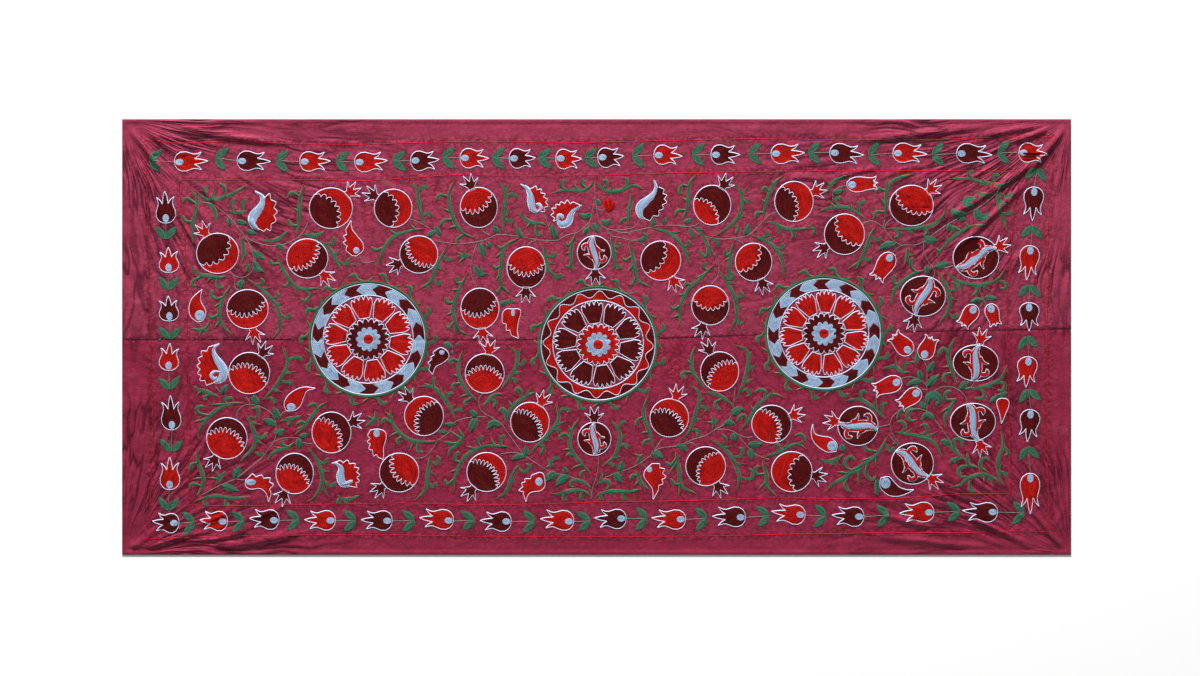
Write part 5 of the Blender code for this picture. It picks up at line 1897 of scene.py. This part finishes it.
# %% Thread materials
# For each thread: its colour, its row and its loop in millimetres, and how much its dye and its painted sheen
# vary.
THREAD_LOOKS = {
    BLUE: ((0.28, 0.39, 0.56), 2.4, 4.0, 0.22),
    OUTLINE: ((0.52, 0.57, 0.72), 3.0, 3.6, 0.14),
    RED: ((0.39, 0.007, 0.005), 2.4, 4.2, 0.38),
    MAROON: ((0.078, 0.0045, 0.005), 2.4, 4.2, 0.36),
    GREEN: ((0.040, 0.125, 0.078), 2.1, 4.0, 0.34),
    GREY_GREEN: ((0.12, 0.155, 0.125), 2.6, 3.6, 0.24),
    FINE_RED: ((0.36, 0.012, 0.015), 2.6, 4.2, 0.24),
}
STITCH_DEPTH = 0.0009


def finish_surface(nodes, used, depth, **constants):
    """A Principled surface fed by a group's colour, roughness and height, with constant values on it."""
    shader = nodes.tree.nodes["Principled BSDF"]
    for label, value in constants.items():
        shader.inputs[label.replace("_", " ")].default_value = value
    bump = nodes.tree.nodes.new("ShaderNodeBump")
    bump.inputs["Distance"].default_value = depth
    nodes.give(bump.inputs["Height"], used.outputs["Height"])
    nodes.give(shader.inputs["Base Color"], used.outputs["Colour"])
    nodes.give(shader.inputs["Roughness"], used.outputs["Roughness"])
    nodes.give(shader.inputs["Normal"], bump.outputs["Normal"])


def new_material(name):
    material = bpy.data.materials.new(name)
    material.use_nodes = True
    return material, Nodes(material.node_tree)


for name, (colour, row_width, loop, variety) in THREAD_LOOKS.items():
    material, nodes = new_material(THREAD_NAMES[name])
    stitch_place = nodes.add("ShaderNodeUVMap", uv_map=STITCH_MAP)
    place = nodes.tree.nodes.new("ShaderNodeTexCoord").outputs["Object"]
    used = use_group(
        nodes, stitch, Stitch=stitch_place, Place=place, Colour=(*colour, 1), Row=row_width * MM,
        Loop=loop * MM, Variety=variety,
    )  # fmt: skip
    finish_surface(nodes, used, STITCH_DEPTH, Specular_IOR_Level=0.12)
    pieces[name].data.materials.append(material)
    print(material.name, colour)

# %% [markdown]
# The satin's materials. They read where the stitching is from the attribute made above. A warm tint on the
# reflection keeps the highlights plum, as on a cloth whose yarn took the dye before it was woven.

# %% Satin materials
SATIN_LOOKS = {"cloth_upper": (0.270, 0.031, 0.067), "cloth_lower": (0.233, 0.019, 0.048)}
SATIN_DEPTH = 0.0016
for name, colour in SATIN_LOOKS.items():
    material, nodes = new_material("satin_" + name)
    place = nodes.tree.nodes.new("ShaderNodeTexCoord").outputs["Object"]
    near = nodes.add("ShaderNodeAttribute", attribute_name="near_stitching", output=2)
    used = use_group(nodes, satin, Place=place, Colour=(*colour, 1), Stitching=near, Polish=0.40)
    finish_surface(nodes, used, SATIN_DEPTH, Specular_IOR_Level=0.34, Specular_Tint=(1, 0.5, 0.66, 1))
    cloths[name].data.materials.append(material)
    print(material.name, colour)

# %% [markdown]
# The floor. The photograph has a plain white ground, so the cloth lies on a matt white board. It belongs to
# the stage and not to the part.

# %% Floor material
floor_material, nodes = new_material("floor")
shader = nodes.tree.nodes["Principled BSDF"]
shader.inputs["Base Color"].default_value = (0.95, 0.95, 0.95, 1)
shader.inputs["Roughness"].default_value = 0.9
print("floor material ready")

# %% [markdown]
# Fitting the looks to the part. The two widths stand in for the two solids of the part, and every stitched
# piece goes with the same body.

# %% Ride and replace
for name, cloth in cloths.items():
    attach(cloth, "root")
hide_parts("upper_panel")
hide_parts("lower_panel")
for piece in pieces.values():
    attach(piece, "root")
print(len(cloths) + len(pieces), "pieces ride the cloth")

# %% [markdown]
# Taking the picture. The camera looks straight down from 6 m, as flat textiles are photographed, and low
# light from a window rakes across, so that folds and thread cast their shadows. Most of it has no sheen of
# its own, as through a polarising filter, or satin would turn white when it is seen against the window.
# A faint light on the other side opens the shadows.

# %% Camera, floor and light
CAMERA_HEIGHT = 6.0
SENSOR = 36.0
frame_width = FRAME_PIXELS[0] * PIXEL
camera_data = bpy.data.cameras.new("camera")
camera_data.sensor_width = SENSOR
camera_data.lens = SENSOR * CAMERA_HEIGHT / frame_width
camera_data.clip_end = 50
camera = bpy.data.objects.new("camera", camera_data)
middle = on_cloth(FRAME_PIXELS[0] / 2, FRAME_PIXELS[1] / 2)
camera.location = (middle[0], middle[1], CAMERA_HEIGHT)
bpy.context.scene.collection.objects.link(camera)
bpy.context.scene.camera = camera

FLOOR_SIZE, FLOOR_DROP = 16, 0.0004
bpy.ops.mesh.primitive_plane_add(size=FLOOR_SIZE, location=(0, 0, -FLOOR_DROP))
floor = bpy.context.object
floor.name = "floor"
floor.data.materials.append(floor_material)


def soft_light(name, place, size, power, sheen=True):
    """A soft box aimed at the cloth's middle, seen in its sheen or not."""
    data = bpy.data.lights.new(name, "AREA")
    data.shape = "RECTANGLE"
    data.size, data.size_y = size
    data.energy = power
    light = bpy.data.objects.new(name, data)
    light.location = place
    light.visible_glossy = sheen
    light.rotation_euler = (-Vector(place)).to_track_quat("-Z", "Y").to_euler()
    bpy.context.scene.collection.objects.link(light)


WINDOW_PLACE, WINDOW_SIZE = (-1.6, 10.0, 3.8), (4.0, 1.6)
soft_light("window", WINDOW_PLACE, WINDOW_SIZE, 2900, sheen=False)
soft_light("window_sheen", WINDOW_PLACE, WINDOW_SIZE, 400)
soft_light("fill", (0.6, -6.0, 4.0), (4.0, 2.0), 60)
world = bpy.data.worlds.new("room")
bpy.context.scene.world = world
world.use_nodes = True
background = world.node_tree.nodes["Background"]
background.inputs["Color"].default_value = (1, 1, 1, 1)
background.inputs["Strength"].default_value = 0.20
bpy.context.scene.view_settings.view_transform = "Standard"
print("lens", round(camera_data.lens, 1), "mm at", CAMERA_HEIGHT, "m")
